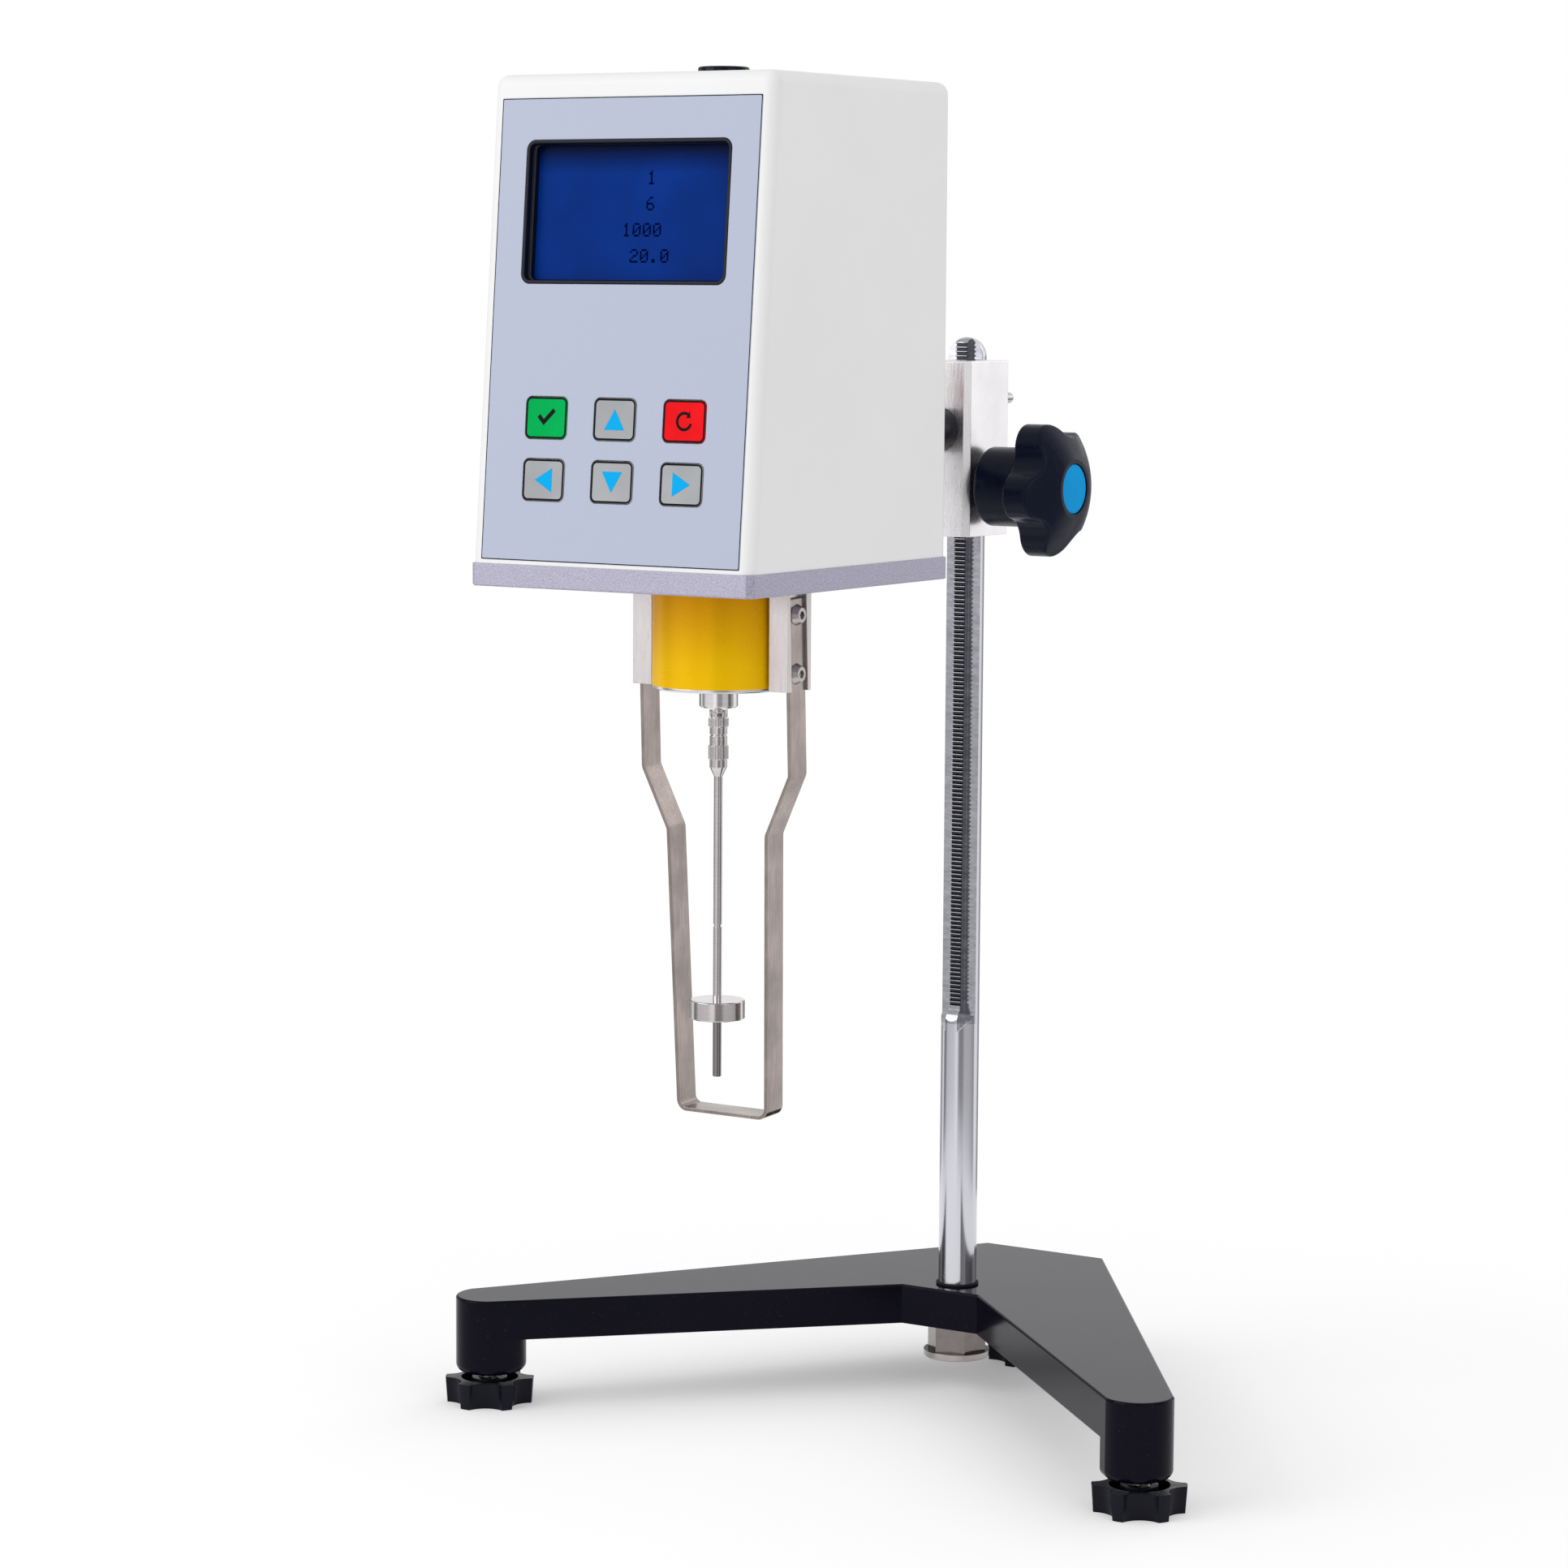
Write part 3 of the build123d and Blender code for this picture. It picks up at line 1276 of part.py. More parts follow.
keyed_disc = slotted_disc(lower_disc_z, pivot_r + seat_play)
with BuildPart() as lower_disc:
    add(keyed_disc)
    with BuildSketch(Plane.XY.offset(lower_disc_z + disc_thick)):
        with Locations((0, spindle_y)):
            Circle(4.0)
            Circle(pivot_r + seat_play, mode=Mode.SUBTRACT)
    extrude(amount=3.0)
lower_disc.part.label = "lower_disc"
export_step(lower_disc.part, "parts/lower_disc.step")

# Photo sensors straddle the rims of both discs.
sensor_x = disc_r - 3.5
sensor_gap = 1.0
with BuildPart() as photo_sensors:
    with BuildSketch(Plane.XY.offset(plate_top)):
        with Locations((disc_r + 6, spindle_y)):
            Rectangle(16, 14)
    extrude(amount=3)
    with BuildSketch(Plane.XY.offset(plate_top)):
        with Locations((disc_r + 4.5, spindle_y)):
            Rectangle(5, 9)
    extrude(amount=upper_disc_rise + sensor_gap + 2.5)
    for disc_low in (lower_disc_z, upper_disc_z - disc_thick):
        for arm_low in (disc_low - sensor_gap - 2.5, disc_low + disc_thick + sensor_gap):
            with BuildSketch(Plane.XY.offset(arm_low)):
                with Locations(((sensor_x + disc_r + 3) / 2, spindle_y)):
                    Rectangle(disc_r + 3 - sensor_x, 6)
            extrude(amount=2.5)
photo_sensors.part.label = "photo_sensors"
export_step(photo_sensors.part, "parts/photo_sensors.step")

# ================================================================ spindle housing and bearing hub
with BuildPart() as spindle_housing:
    with BuildSketch(Plane.XY.offset(housing_bottom)):
        with Locations((0, spindle_y)):
            Circle(housing_r)
    extrude(amount=housing_tall)
    chamfer(spindle_housing.edges().group_by(Axis.Z)[0], length=0.4)
    with BuildSketch(Plane.XY.offset(housing_bottom + ring_tall)):
        with Locations((0, spindle_y)):
            Circle(housing_r + 1)
            Circle(housing_r - 0.1, mode=Mode.SUBTRACT)
    extrude(amount=housing_tall, mode=Mode.SUBTRACT)
    with BuildSketch(Plane.XY.offset(housing_bottom + 3)):
        with Locations((0, spindle_y)):
            Circle(housing_r - housing_wall)
    extrude(amount=housing_tall, mode=Mode.SUBTRACT)
    with Locations((0, spindle_y, housing_bottom)):
        Hole(radius=hub_r - 1.5 + seat_play, depth=10)
spindle_housing.part.label = "spindle_housing"
export_step(spindle_housing.part, "parts/spindle_housing.step")

with BuildPart() as label_band:
    with BuildSketch(Plane.XY.offset(housing_bottom + ring_tall)):
        with Locations((0, spindle_y)):
            Circle(housing_r - 0.1 + band_thick)
            Circle(housing_r - 0.1, mode=Mode.SUBTRACT)
    extrude(amount=housing_tall - ring_tall)
label_band.part.label = "label_band"
export_step(label_band.part, "parts/label_band.step")

with BuildPart() as pivot_bearing:
    with BuildSketch(Plane.XY.offset(hub_bottom)):
        with Locations((0, spindle_y)):
            Circle(hub_r)
    extrude(amount=hub_tall)
    chamfer(pivot_bearing.edges().group_by(Axis.Z)[0], length=0.5)
    with BuildSketch(Plane.XY.offset(housing_bottom)):
        with Locations((0, spindle_y)):
            Circle(hub_r - 1.5)
    extrude(amount=5)
    with Locations((0, spindle_y, hub_bottom)):
        Hole(radius=pivot_r + running, depth=hub_tall + 10)
pivot_bearing.part.label = "pivot_bearing"
export_step(pivot_bearing.part, "parts/pivot_bearing.step")

# ================================================================ guard
guard_y = spindle_y + guard_mid
bar_outer = bar_inner + bar_thick
groove_floor = bar_outer - groove_deep
guard_pivot_z = sum(guard_screw_z) / 2
guard_half_top = groove_floor + guard_thick
hang = Plane(
    origin=(0, guard_y, guard_pivot_z),
    x_dir=(1, 0, 0),
    z_dir=(0, -cos(radians(guard_lean)), -sin(radians(guard_lean))),
)

with BuildPart() as guard_bars:
    for hand in (-1, 1):
        with BuildSketch(Plane.XY.offset(housing_bottom + 0.4)):
            with Locations((hand * (bar_inner + bar_thick / 2), spindle_y - bar_front + bar_wide / 2)):
                Rectangle(bar_thick, bar_wide)
        extrude(amount=housing_tall - 0.4)
        with BuildSketch(hang):
            with Locations((hand * (groove_floor + bar_thick / 2), 0)):
                Rectangle(bar_thick, 3 * housing_tall)
        extrude(amount=guard_wide / 2 + 0.1, both=True, mode=Mode.SUBTRACT)
        with BuildSketch(Plane.YZ):
            with Locations(*[(guard_y, z) for z in guard_screw_z]):
                Circle(guard_screw_r + seat_play)
        extrude(amount=hand * bar_outer, mode=Mode.SUBTRACT)
guard_bars.part.label = "guard_bars"
export_step(guard_bars.part, "parts/guard_bars.step")

# One bent strip: down from the bars, in at the knees, and across under the spindle.
with BuildPart() as guard_frame:
    with BuildSketch(hang):
        with BuildLine():
            half_t = guard_thick / 2
            FilletPolyline(
                (-guard_half_top + half_t, guard_top - guard_pivot_z),
                (-guard_half_top + half_t, guard_knee - guard_pivot_z),
                (-guard_half_knee + half_t, guard_calf - guard_pivot_z),
                (-guard_half_foot + half_t, guard_bottom + half_t - guard_pivot_z),
                (guard_half_foot - half_t, guard_bottom + half_t - guard_pivot_z),
                (guard_half_knee - half_t, guard_calf - guard_pivot_z),
                (guard_half_top - half_t, guard_knee - guard_pivot_z),
                (guard_half_top - half_t, guard_top - guard_pivot_z),
                radius=guard_corner,
            )
            offset(amount=half_t, side=Side.BOTH)
        make_face()
    extrude(amount=guard_wide / 2, both=True)
    with BuildSketch(Plane.YZ):
        with Locations(*[(guard_y, z) for z in guard_screw_z]):
            Circle(guard_screw_r + 0.1)
    extrude(amount=bar_outer + 1, both=True, mode=Mode.SUBTRACT)
guard_frame.part.label = "guard_frame"
export_step(guard_frame.part, "parts/guard_frame.step")

with BuildPart() as guard_screws:
    for hand in (-1, 1):
        for z in guard_screw_z:
            with BuildSketch(Plane.YZ.offset(hand * (bar_inner + 1))):
                with Locations((guard_y, z)):
                    Circle(guard_screw_r)
            extrude(amount=hand * (guard_half_top - bar_inner - 1))
            with BuildSketch(Plane.YZ.offset(hand * guard_half_top)):
                with Locations((guard_y, z)):
                    Circle(screw_head_r)
            extrude(amount=hand * screw_head_tall, taper=28)
            with BuildSketch(Plane.YZ.offset(hand * (guard_half_top + screw_head_tall))):
                with Locations((guard_y, z)):
                    RegularPolygon(1.25, 6, major_radius=False)
            extrude(amount=-hand * 1.3, mode=Mode.SUBTRACT)
guard_screws.part.label = "guard_screws"
export_step(guard_screws.part, "parts/guard_screws.step")

# ================================================================ universal joint and spindle
with BuildPart() as gimbal_cross:
    with Locations((0, spindle_y, joint_z)):
        Box(2 * prong_inner - 0.8, 2 * prong_inner - 0.8, 1.2)
    for plane, place in ((Plane.YZ, (spindle_y, joint_z)), (Plane.XZ.offset(-spindle_y), (0, joint_z))):
        with BuildSketch(plane):
            with Locations(place):
                Circle(cross_pin_r)
        extrude(amount=fork_r - 0.15, both=True)
gimbal_cross.part.label = "gimbal_cross"
export_step(gimbal_cross.part, "parts/gimbal_cross.step")

coupling_top = fork_under - joint_gap
rotor_top = disc_rotor_bottom + disc_rotor_tall
with BuildPart() as spindle:
    with BuildSketch(Plane.XZ.offset(-spindle_y)):
        with BuildLine():
            Polyline(
                (0, coupling_top),
                (coupling_r, coupling_top),
                (coupling_r, coupling_top - 2.7),
                (coupling_neck_r, coupling_top - 3.1),
                (coupling_neck_r, coupling_top - 5.4),
                (coupling_neck_r - 0.5, coupling_top - 5.7),
                (coupling_neck_r, coupling_top - 6.0),
                (coupling_neck_r, coupling_top - 9.0),
                (coupling_r, coupling_top - 9.3),
                (coupling_r, coupling_top - 13.6),
                (coupling_neck_r, coupling_top - 13.9),
                (coupling_neck_r, coupling_top - 16.4),
                (shaft_r, coupling_top - 19.6),
                (shaft_r, immersion_z + 0.5),
                (shaft_r - 0.3, immersion_z + 0.3),
                (shaft_r - 0.3, immersion_z - 0.3),
                (shaft_r, immersion_z - 0.5),
                (shaft_r, rotor_top),
                (disc_rotor_r - 0.3, rotor_top),
                (disc_rotor_r, rotor_top - 0.3),
                (disc_rotor_r, disc_rotor_bottom + 0.3),
                (disc_rotor_r - 0.3, disc_rotor_bottom),
                (shaft_r, disc_rotor_bottom),
                (shaft_r, spindle_end + 0.2),
                (shaft_r - 0.2, spindle_end),
                (0, spindle_end),
                close=True,
            )
        make_face()
    revolve(axis=Axis((0, spindle_y, 0), (0, 0, 1)))
    for knurl_top, knurl_tall in ((coupling_top, 2.7), (coupling_top - 9.3, 4.3)):
        with BuildSketch(Plane.XY.offset(knurl_top)):
            with Locations((0, spindle_y)):
                with PolarLocations(coupling_r + 0.15, knurl_count):
                    RegularPolygon(0.45, 3, major_radius=True, rotation=180)
        extrude(amount=-knurl_tall, mode=Mode.SUBTRACT)
    with BuildSketch(Plane.XY.offset(coupling_top)):
        with Locations((0, spindle_y)):
            Circle(fork_r)
            Rectangle(2 * prong_half, 2 * fork_r, mode=Mode.INTERSECT)
            Rectangle(2 * fork_r, 2 * prong_inner, mode=Mode.SUBTRACT)
    extrude(amount=prong_tall)
    with BuildSketch(Plane.XZ.offset(-spindle_y)):
        with Locations((0, joint_z)):
            Circle(cross_pin_r + running)
    extrude(amount=fork_r, both=True, mode=Mode.SUBTRACT)
spindle.part.label = "spindle"
export_step(spindle.part, "parts/spindle.step")
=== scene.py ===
"""Dresses the rotational viscometer: finishes, printed marks, threads, studio and camera.

Every object is in metres, in the row frame: +Z up, the display faces -Y, the lift knob is on +X.
Each sub-assembly is a class that holds its sizes as fields. ``build`` makes its extra meshes and
``dress`` gives finishes to the CAD nodes that it owns.
"""

import json
import logging
import math
from collections.abc import Iterable, Sequence
from dataclasses import dataclass, field
from enum import Enum

import bmesh
import bpy
from mathutils import Matrix, Vector

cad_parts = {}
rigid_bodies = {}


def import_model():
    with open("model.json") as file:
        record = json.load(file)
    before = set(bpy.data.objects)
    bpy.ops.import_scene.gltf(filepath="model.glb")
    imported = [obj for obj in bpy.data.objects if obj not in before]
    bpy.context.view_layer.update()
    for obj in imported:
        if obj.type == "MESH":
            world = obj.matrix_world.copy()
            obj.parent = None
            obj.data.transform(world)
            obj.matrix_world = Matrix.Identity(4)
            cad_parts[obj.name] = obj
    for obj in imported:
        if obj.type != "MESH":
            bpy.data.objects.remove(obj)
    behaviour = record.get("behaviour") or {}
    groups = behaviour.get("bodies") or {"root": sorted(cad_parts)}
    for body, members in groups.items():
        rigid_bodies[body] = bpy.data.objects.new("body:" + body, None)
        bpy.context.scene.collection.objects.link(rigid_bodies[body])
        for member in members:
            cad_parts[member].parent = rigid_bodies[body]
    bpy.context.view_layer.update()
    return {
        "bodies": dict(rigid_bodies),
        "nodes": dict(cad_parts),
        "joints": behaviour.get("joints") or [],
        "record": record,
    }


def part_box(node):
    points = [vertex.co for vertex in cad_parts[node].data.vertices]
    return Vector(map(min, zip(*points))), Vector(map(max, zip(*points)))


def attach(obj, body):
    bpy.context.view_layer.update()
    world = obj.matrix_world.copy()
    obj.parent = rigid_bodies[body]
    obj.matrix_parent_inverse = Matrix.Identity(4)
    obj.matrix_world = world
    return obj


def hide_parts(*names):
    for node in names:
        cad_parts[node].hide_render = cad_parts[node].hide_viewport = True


LOG = logging.getLogger("viscometer")
MM = 0.001
Colour = tuple[float, float, float]
Point = tuple[float, float, float]
Spot = tuple[float, float]
Shape = tuple[list[Vector], list[list[int]]]
Socket = bpy.types.NodeSocket


class Grain(Enum):
    """Which way the marks of a tool run on a worked metal surface."""

    ALONG_Z = (26.0, 26.0, 1.0)
    ROUND_Z = (0.6, 0.6, 30.0)
    NONE = (1.0, 1.0, 1.0)


class Arrow(Enum):
    """The way a cursor key points, as an angle on the panel in degrees."""

    RIGHT = 0
    UP = 90
    LEFT = 180
    DOWN = 270


# ---------------------------------------------------------------- node bench


class NodeBench:
    """One material's node tree, with short ways to add the nodes that the finishes share."""

    def __init__(self, name: str, owner: bpy.types.ID | None = None) -> None:
        """Starts a material with a Principled shader, or takes over another node tree.

        Args:
            name: The material's name.
            owner: What holds the node tree, where it isn't a new material.
        """
        self.material = owner or bpy.data.materials.new(name)
        self.material.use_nodes = True
        self.tree = self.material.node_tree
        self.shader = self.tree.nodes.get("Principled BSDF")
        self._coords: Socket | None = None

    def plug(self, source: object, target: Socket) -> None:
        """Links a socket to an input, or sets the input's own value.

        Args:
            source: A socket, a value, or None where the input stays as it is.
            target: The input.
        """
        if isinstance(source, Socket):
            self.tree.links.new(source, target)
        elif source is not None:
            target.default_value = source

    def node(self, kind: str, feeds: dict[str | int, object] | None = None, **settings: object) -> bpy.types.Node:
        """Adds a node.

        Args:
            kind: The node's type, without its ShaderNode prefix.
            feeds: What goes into its inputs: sockets are linked, and values are set.
            **settings: Properties of the node.

        Returns:
            The new node.
        """
        made = self.tree.nodes.new("ShaderNode" + kind)
        for key, value in settings.items():
            setattr(made, key, value)
        for key, value in (feeds or {}).items():
            self.plug(value, made.inputs[key])
        return made

    def coords(self) -> Socket:
        """The place on the object.

        Returns:
            The vector, in metres of the row frame.
        """
        if self._coords is None:
            self._coords = self.node("TexCoord").outputs["Object"]
        return self._coords

    def along(self, axis: str, vector: Socket | None = None) -> Socket:
        """One part, X, Y or Z, of the place on the object or of another vector."""
        return self.node("SeparateXYZ", {0: vector or self.coords()}).outputs[axis]

    def noise(
        self,
        size: float,
        detail: float = 2.0,
        stretch: Sequence[float] = (1.0, 1.0, 1.0),
        rough: float = 0.5,
    ) -> Socket:
        """A cloudy value from 0 to 1.

        Args:
            size: The spots' size in metres.
            detail: How many finer layers are added.
            stretch: Scale along each axis.
            rough: How strong the finer layers are.

        Returns:
            The noise value.
        """
        place = self.node("Mapping", {"Scale": tuple(stretch), "Vector": self.coords()}).outputs["Vector"]
        feeds = {"Scale": 1.0 / size, "Detail": detail, "Roughness": rough, "Vector": place}
        return self.node("TexNoise", feeds).outputs["Fac"]

    def spread(self, value: Socket, low: float, high: float, start: float = 0.3, end: float = 0.7) -> Socket:
        """Maps a value onto a range and clamps it.

        Args:
            value: What is mapped.
            low: The result at start.
            high: The result at end.
            start: Where the range begins.
            end: Where it ends.

        Returns:
            The mapped value.
        """
        feeds = {"Value": value, "From Min": start, "From Max": end, "To Min": low, "To Max": high}
        return self.node("MapRange", feeds).outputs["Result"]

    def partly(self, mask: Socket, share: float, least: float = 0.0) -> Socket:
        """A mask from 0 to 1 that is brought to run from the least value to a share."""
        return self.spread(mask, least, share, 0.0, 1.0)

    def blend(self, share: Socket, first: Colour | Socket, second: Colour | Socket) -> Socket:
        """Mixes two colours.

        Args:
            share: 0 gives the first colour and 1 the second.
            first: A colour, or the socket of one.
            second: A colour, or the socket of one.

        Returns:
            The mixed colour.
        """
        one, two = (c if isinstance(c, Socket) else (*c, 1.0) for c in (first, second))
        return self.node("Mix", {6: one, 7: two, 0: share}, data_type="RGBA").outputs[2]

    def figure(self, operation: str, first: Socket, second: Socket | float | None = None) -> Socket:
        """Works out a number from one or two others.

        Args:
            operation: The sum that is done, such as ADD.
            first: The first number.
            second: The second number, a socket or a plain value.

        Returns:
            The result.
        """
        return self.node("Math", {0: first, 1: second}, operation=operation).outputs[0]

    def measure(self, operation: str, first: Socket, second: Socket | Point | None = None) -> Socket:
        """Works out a number from one or two vectors.

        Args:
            operation: LENGTH or DOT_PRODUCT.
            first: The first vector.
            second: The second vector, a socket or a plain one.

        Returns:
            The result.
        """
        return self.node("VectorMath", {0: first, 1: second}, operation=operation).outputs["Value"]

    def product(self, first: Socket, *others: Socket) -> Socket:
        """Multiplies several numbers, so that masks hold together.

        Args:
            first: The first number.
            *others: The numbers that it is multiplied by.

        Returns:
            The product.
        """
        for other in others:
            first = self.figure("MULTIPLY", first, other)
        return first

    def background_rays(self) -> Socket:
        """Finds the rays that show the background.

        Returns:
            A value of 1 where it is seen, mirrored or looked through.
        """
        paths = self.node("LightPath").outputs
        seen = self.figure("MAXIMUM", paths["Is Camera Ray"], paths["Is Glossy Ray"])
        return self.figure("MAXIMUM", seen, paths["Is Transmission Ray"])

    def edges(self, radius: float) -> tuple[Socket, Socket]:
        """A softened normal at sharp edges, and a mask that is 1 on them.

        Args:
            radius: How wide the softening is, in metres.

        Returns:
            The softened normal and the edge mask.
        """
        soft = self.node("Bevel", {"Radius": radius}, samples=4).outputs["Normal"]
        flat = self.measure("DOT_PRODUCT", soft, self.node("NewGeometry").outputs["Normal"])
        return soft, self.spread(flat, 1.0, 0.0, 0.75, 0.99)

    def bump(self, height: Socket, depth: float, strength: float, normal: Socket | None = None) -> Socket:
        """Turns a height into relief.

        Args:
            height: The height, from 0 to 1.
            depth: The relief's depth in metres.
            strength: How much of it shows.
            normal: The normal that it starts from.

        Returns:
            The new normal.
        """
        feeds = {"Strength": strength, "Distance": depth, "Height": height, "Normal": normal}
        return self.node("Bump", feeds).outputs["Normal"]

    def painted(self) -> Socket:
        """The colour that the shader has so far."""
        return self.shader.inputs["Base Color"].links[0].from_socket

    def lay(self, **values: object) -> None:
        """Links or sets the shader's own inputs, which are named with _ for a space."""
        for key, value in values.items():
            self.plug(value, self.shader.inputs[key.replace("_", " ")])


# ---------------------------------------------------------------- finishes


@dataclass(frozen=True)
class Finish:
    """What every finish has: a name and its main colour."""

    name: str
    colour: Colour

    def make(self) -> bpy.types.Material:
        """Builds the material, once for each name.

        Returns:
            The material.
        """
        own_name = f"{self.name}_surface"
        ready = bpy.data.materials.get(own_name)
        if ready is not None:
            return ready
        bench = NodeBench(own_name)
        self.brush(bench)
        return bench.material

    def brush(self, bench: NodeBench) -> None:
        """Lays the finish on a bench's shader."""
        raise NotImplementedError

    def tint(self, factor: float) -> Colour:
        """The main colour made darker or lighter."""
        return tuple(min(1.0, c * factor) for c in self.colour)

    def clouded(self, bench: NodeBench, value: Socket, low: float, high: float) -> Socket:
        """The main colour, which a noise value moves between two tints."""
        return bench.blend(bench.spread(value, 0.0, 1.0), self.tint(low), self.tint(high))

    def edge_highlight(self, bench: NodeBench, edge: Socket, colour: Socket, share: float, factor: float) -> Socket:
        """A painted highlight: a colour that turns toward a lighter tint of the main colour on the edges.

        Args:
            bench: The node bench.
            edge: The edge mask.
            colour: The colour away from the edges.
            share: How much of the tint shows on an edge.
            factor: How much lighter that tint is.

        Returns:
            The colour with its painted edge highlight.
        """
        return bench.blend(bench.partly(edge, share), colour, self.tint(factor))


@dataclass(frozen=True)
class CastEnamel(Finish):
    """Thick stoving enamel on a casting: deep gloss, a slight orange peel and a little dust."""

    peel: float = 0.0024
    dust: Colour = (0.35, 0.35, 0.36)

    def brush(self, bench: NodeBench) -> None:
        """Lays the enamel.

        Args:
            bench: The bench whose shader it is laid on.
        """
        soft, edge = bench.edges(0.0005)
        dusty = bench.spread(bench.noise(0.0009, 4.0), 0.0, 1.0, 0.66, 0.74)
        # painted highlight: the enamel's edges turn to a lighter tint
        edge_lit = self.edge_highlight(bench, edge, self.clouded(bench, bench.noise(0.03, 3.0), 0.8, 1.25), 0.25, 3.0)
        bench.lay(
            Base_Color=bench.blend(bench.partly(dusty, 0.05), edge_lit, self.dust),
            Roughness=bench.spread(bench.noise(0.012, 2.0), 0.125, 0.15),
            Normal=bench.bump(bench.noise(self.peel, 1.0), 0.00004, 0.22, soft),
            Specular_IOR_Level=0.08,
        )


@dataclass(frozen=True)
class RackChrome(Finish):
    """Ground and chromed bar, whose milled rack is bare grey steel, near black in its gullets."""

    milled: Colour = (0.36, 0.36, 0.40)
    wiped: Colour = (0.52, 0.52, 0.56)
    gullet_dark: Colour = (0.05, 0.05, 0.06)
    milled_ahead_of: float = 78.2 * MM
    milled_from: float = 138.0 * MM
    milled_to: float = 389.0 * MM
    gullet_behind: float = 74.85 * MM
    gullet_to: float = 386.0 * MM
    ridge_half: float = 2.37 * MM

    def brush(self, bench: NodeBench) -> None:
        """Lays the chrome, then bares the milled zone and darkens its gullets.

        Args:
            bench: The bench whose shader it is laid on.
        """
        soft, _ = bench.edges(0.00015)
        rings = bench.noise(0.004, 3.0, Grain.ROUND_Z.value)
        smear = bench.noise(0.02, 3.0, (1.0, 1.0, 0.3))
        x, y, z = (bench.along(axis) for axis in "XYZ")
        above = bench.figure("GREATER_THAN", z, self.milled_from)
        cut = bench.product(
            bench.figure("LESS_THAN", y, self.milled_ahead_of), above, bench.figure("LESS_THAN", z, self.milled_to)
        )
        # the gullets between the rack's teeth are coloured near black
        in_gullet = bench.product(
            bench.figure("GREATER_THAN", y, self.gullet_behind),
            bench.figure("LESS_THAN", bench.figure("ABSOLUTE", x), self.ridge_half),
            above,
            bench.figure("LESS_THAN", z, self.gullet_to),
        )
        oil = bench.noise(0.004, 4.0, (1.0, 1.0, 4.0))
        steel = bench.blend(bench.spread(oil, 0.0, 1.0), self.milled, self.wiped)
        chrome = self.clouded(bench, smear, 0.94, 1.04)
        bench.lay(
            Base_Color=bench.blend(in_gullet, bench.blend(cut, chrome, steel), self.gullet_dark),
            Roughness=bench.spread(smear, 0.10, 0.17),
            Normal=bench.bump(rings, 0.00002, 0.10, soft),
            Metallic=1.0,
        )


@dataclass(frozen=True)
class WorkedMetal(Finish):
    """Bare metal with the marks of its last tool: brushed, turned or milled."""

    grain: Grain = Grain.ALONG_Z
    rough: float = 0.30
    mark: float = 0.008
    depth: float = 0.00003
    contrast: float = 0.14

    def brush(self, bench: NodeBench) -> None:
        """Lays the worked metal.

        Args:
            bench: The bench whose shader it is laid on.
        """
        soft, edge = bench.edges(0.0003)
        marks = bench.noise(self.mark, 5.0, self.grain.value, 0.65)
        stain = bench.noise(0.014, 3.0)
        dark, light = self.tint(1 - self.contrast), self.tint(1 + 0.6 * self.contrast)
        tone = bench.blend(bench.spread(marks, 0.0, 1.0, 0.25, 0.75), dark, light)
        dull = bench.blend(bench.spread(stain, 0.0, 1.5 * self.contrast), tone, self.tint(0.45))
        sheen = bench.spread(marks, self.rough - 0.06, self.rough + 0.05)
        wander = bench.node("Math", {0: sheen, 1: bench.spread(stain, -0.03, 0.05)}, operation="ADD", use_clamp=True)
        bench.lay(
            # painted highlight: the metal's edges turn to a lighter tint
            Base_Color=self.edge_highlight(bench, edge, dull, 0.7, 1.25),
            Roughness=wander.outputs[0],
            Normal=bench.bump(marks, self.depth, 0.30, soft),
            Metallic=1.0,
        )


@dataclass(frozen=True)
class SpindleSteel(WorkedMetal):
    """Turned steel whose thin tip is left darker than the shaft, the collars and the disc."""

    centre: Point = (0.0, -85.3 * MM, 0.0)
    rod_r: float = 2.6 * MM
    rod_top: float = 162.0 * MM
    drawn: float = 0.42

    def brush(self, bench: NodeBench) -> None:
        """Lays the turned steel, then darkens the tip below the disc.

        Args:
            bench: The bench whose shader it is laid on.
        """
        super().brush(bench)
        feeds = {"Location": tuple(-v for v in self.centre), "Scale": (1.0, 1.0, 0.0), "Vector": bench.coords()}
        away = bench.measure("LENGTH", bench.node("Mapping", feeds).outputs["Vector"])
        thin = bench.figure("LESS_THAN", away, self.rod_r)
        tip = bench.product(thin, bench.figure("LESS_THAN", bench.along("Z"), self.rod_top))
        bench.lay(Base_Color=bench.blend(tip, bench.painted(), self.tint(self.drawn)))


@dataclass(frozen=True)
class MouldedPlastic(Finish):
    """Moulded plastic with a fine spark-eroded grain, and a painted highlight on its edges."""

    rough: float = 0.42
    sheen: float = 0.35

    def brush(self, bench: NodeBench) -> None:
        """Lays the moulded surface.

        Args:
            bench: The bench whose shader it is laid on.
        """
        soft, edge = bench.edges(0.0004)
        tone = self.clouded(bench, bench.noise(0.02, 3.0), 0.88, 1.10)
        bench.lay(
            # painted highlight: the plastic's edges turn to a lighter tint
            Base_Color=self.edge_highlight(bench, edge, tone, 0.35, 1.9),
            Roughness=bench.spread(bench.noise(0.003, 4.0), self.rough - 0.07, self.rough + 0.08),
            Normal=bench.bump(bench.noise(0.00045, 2.0), 0.00003, 0.35, soft),
            IOR=1.49,
            Specular_IOR_Level=self.sheen,
        )


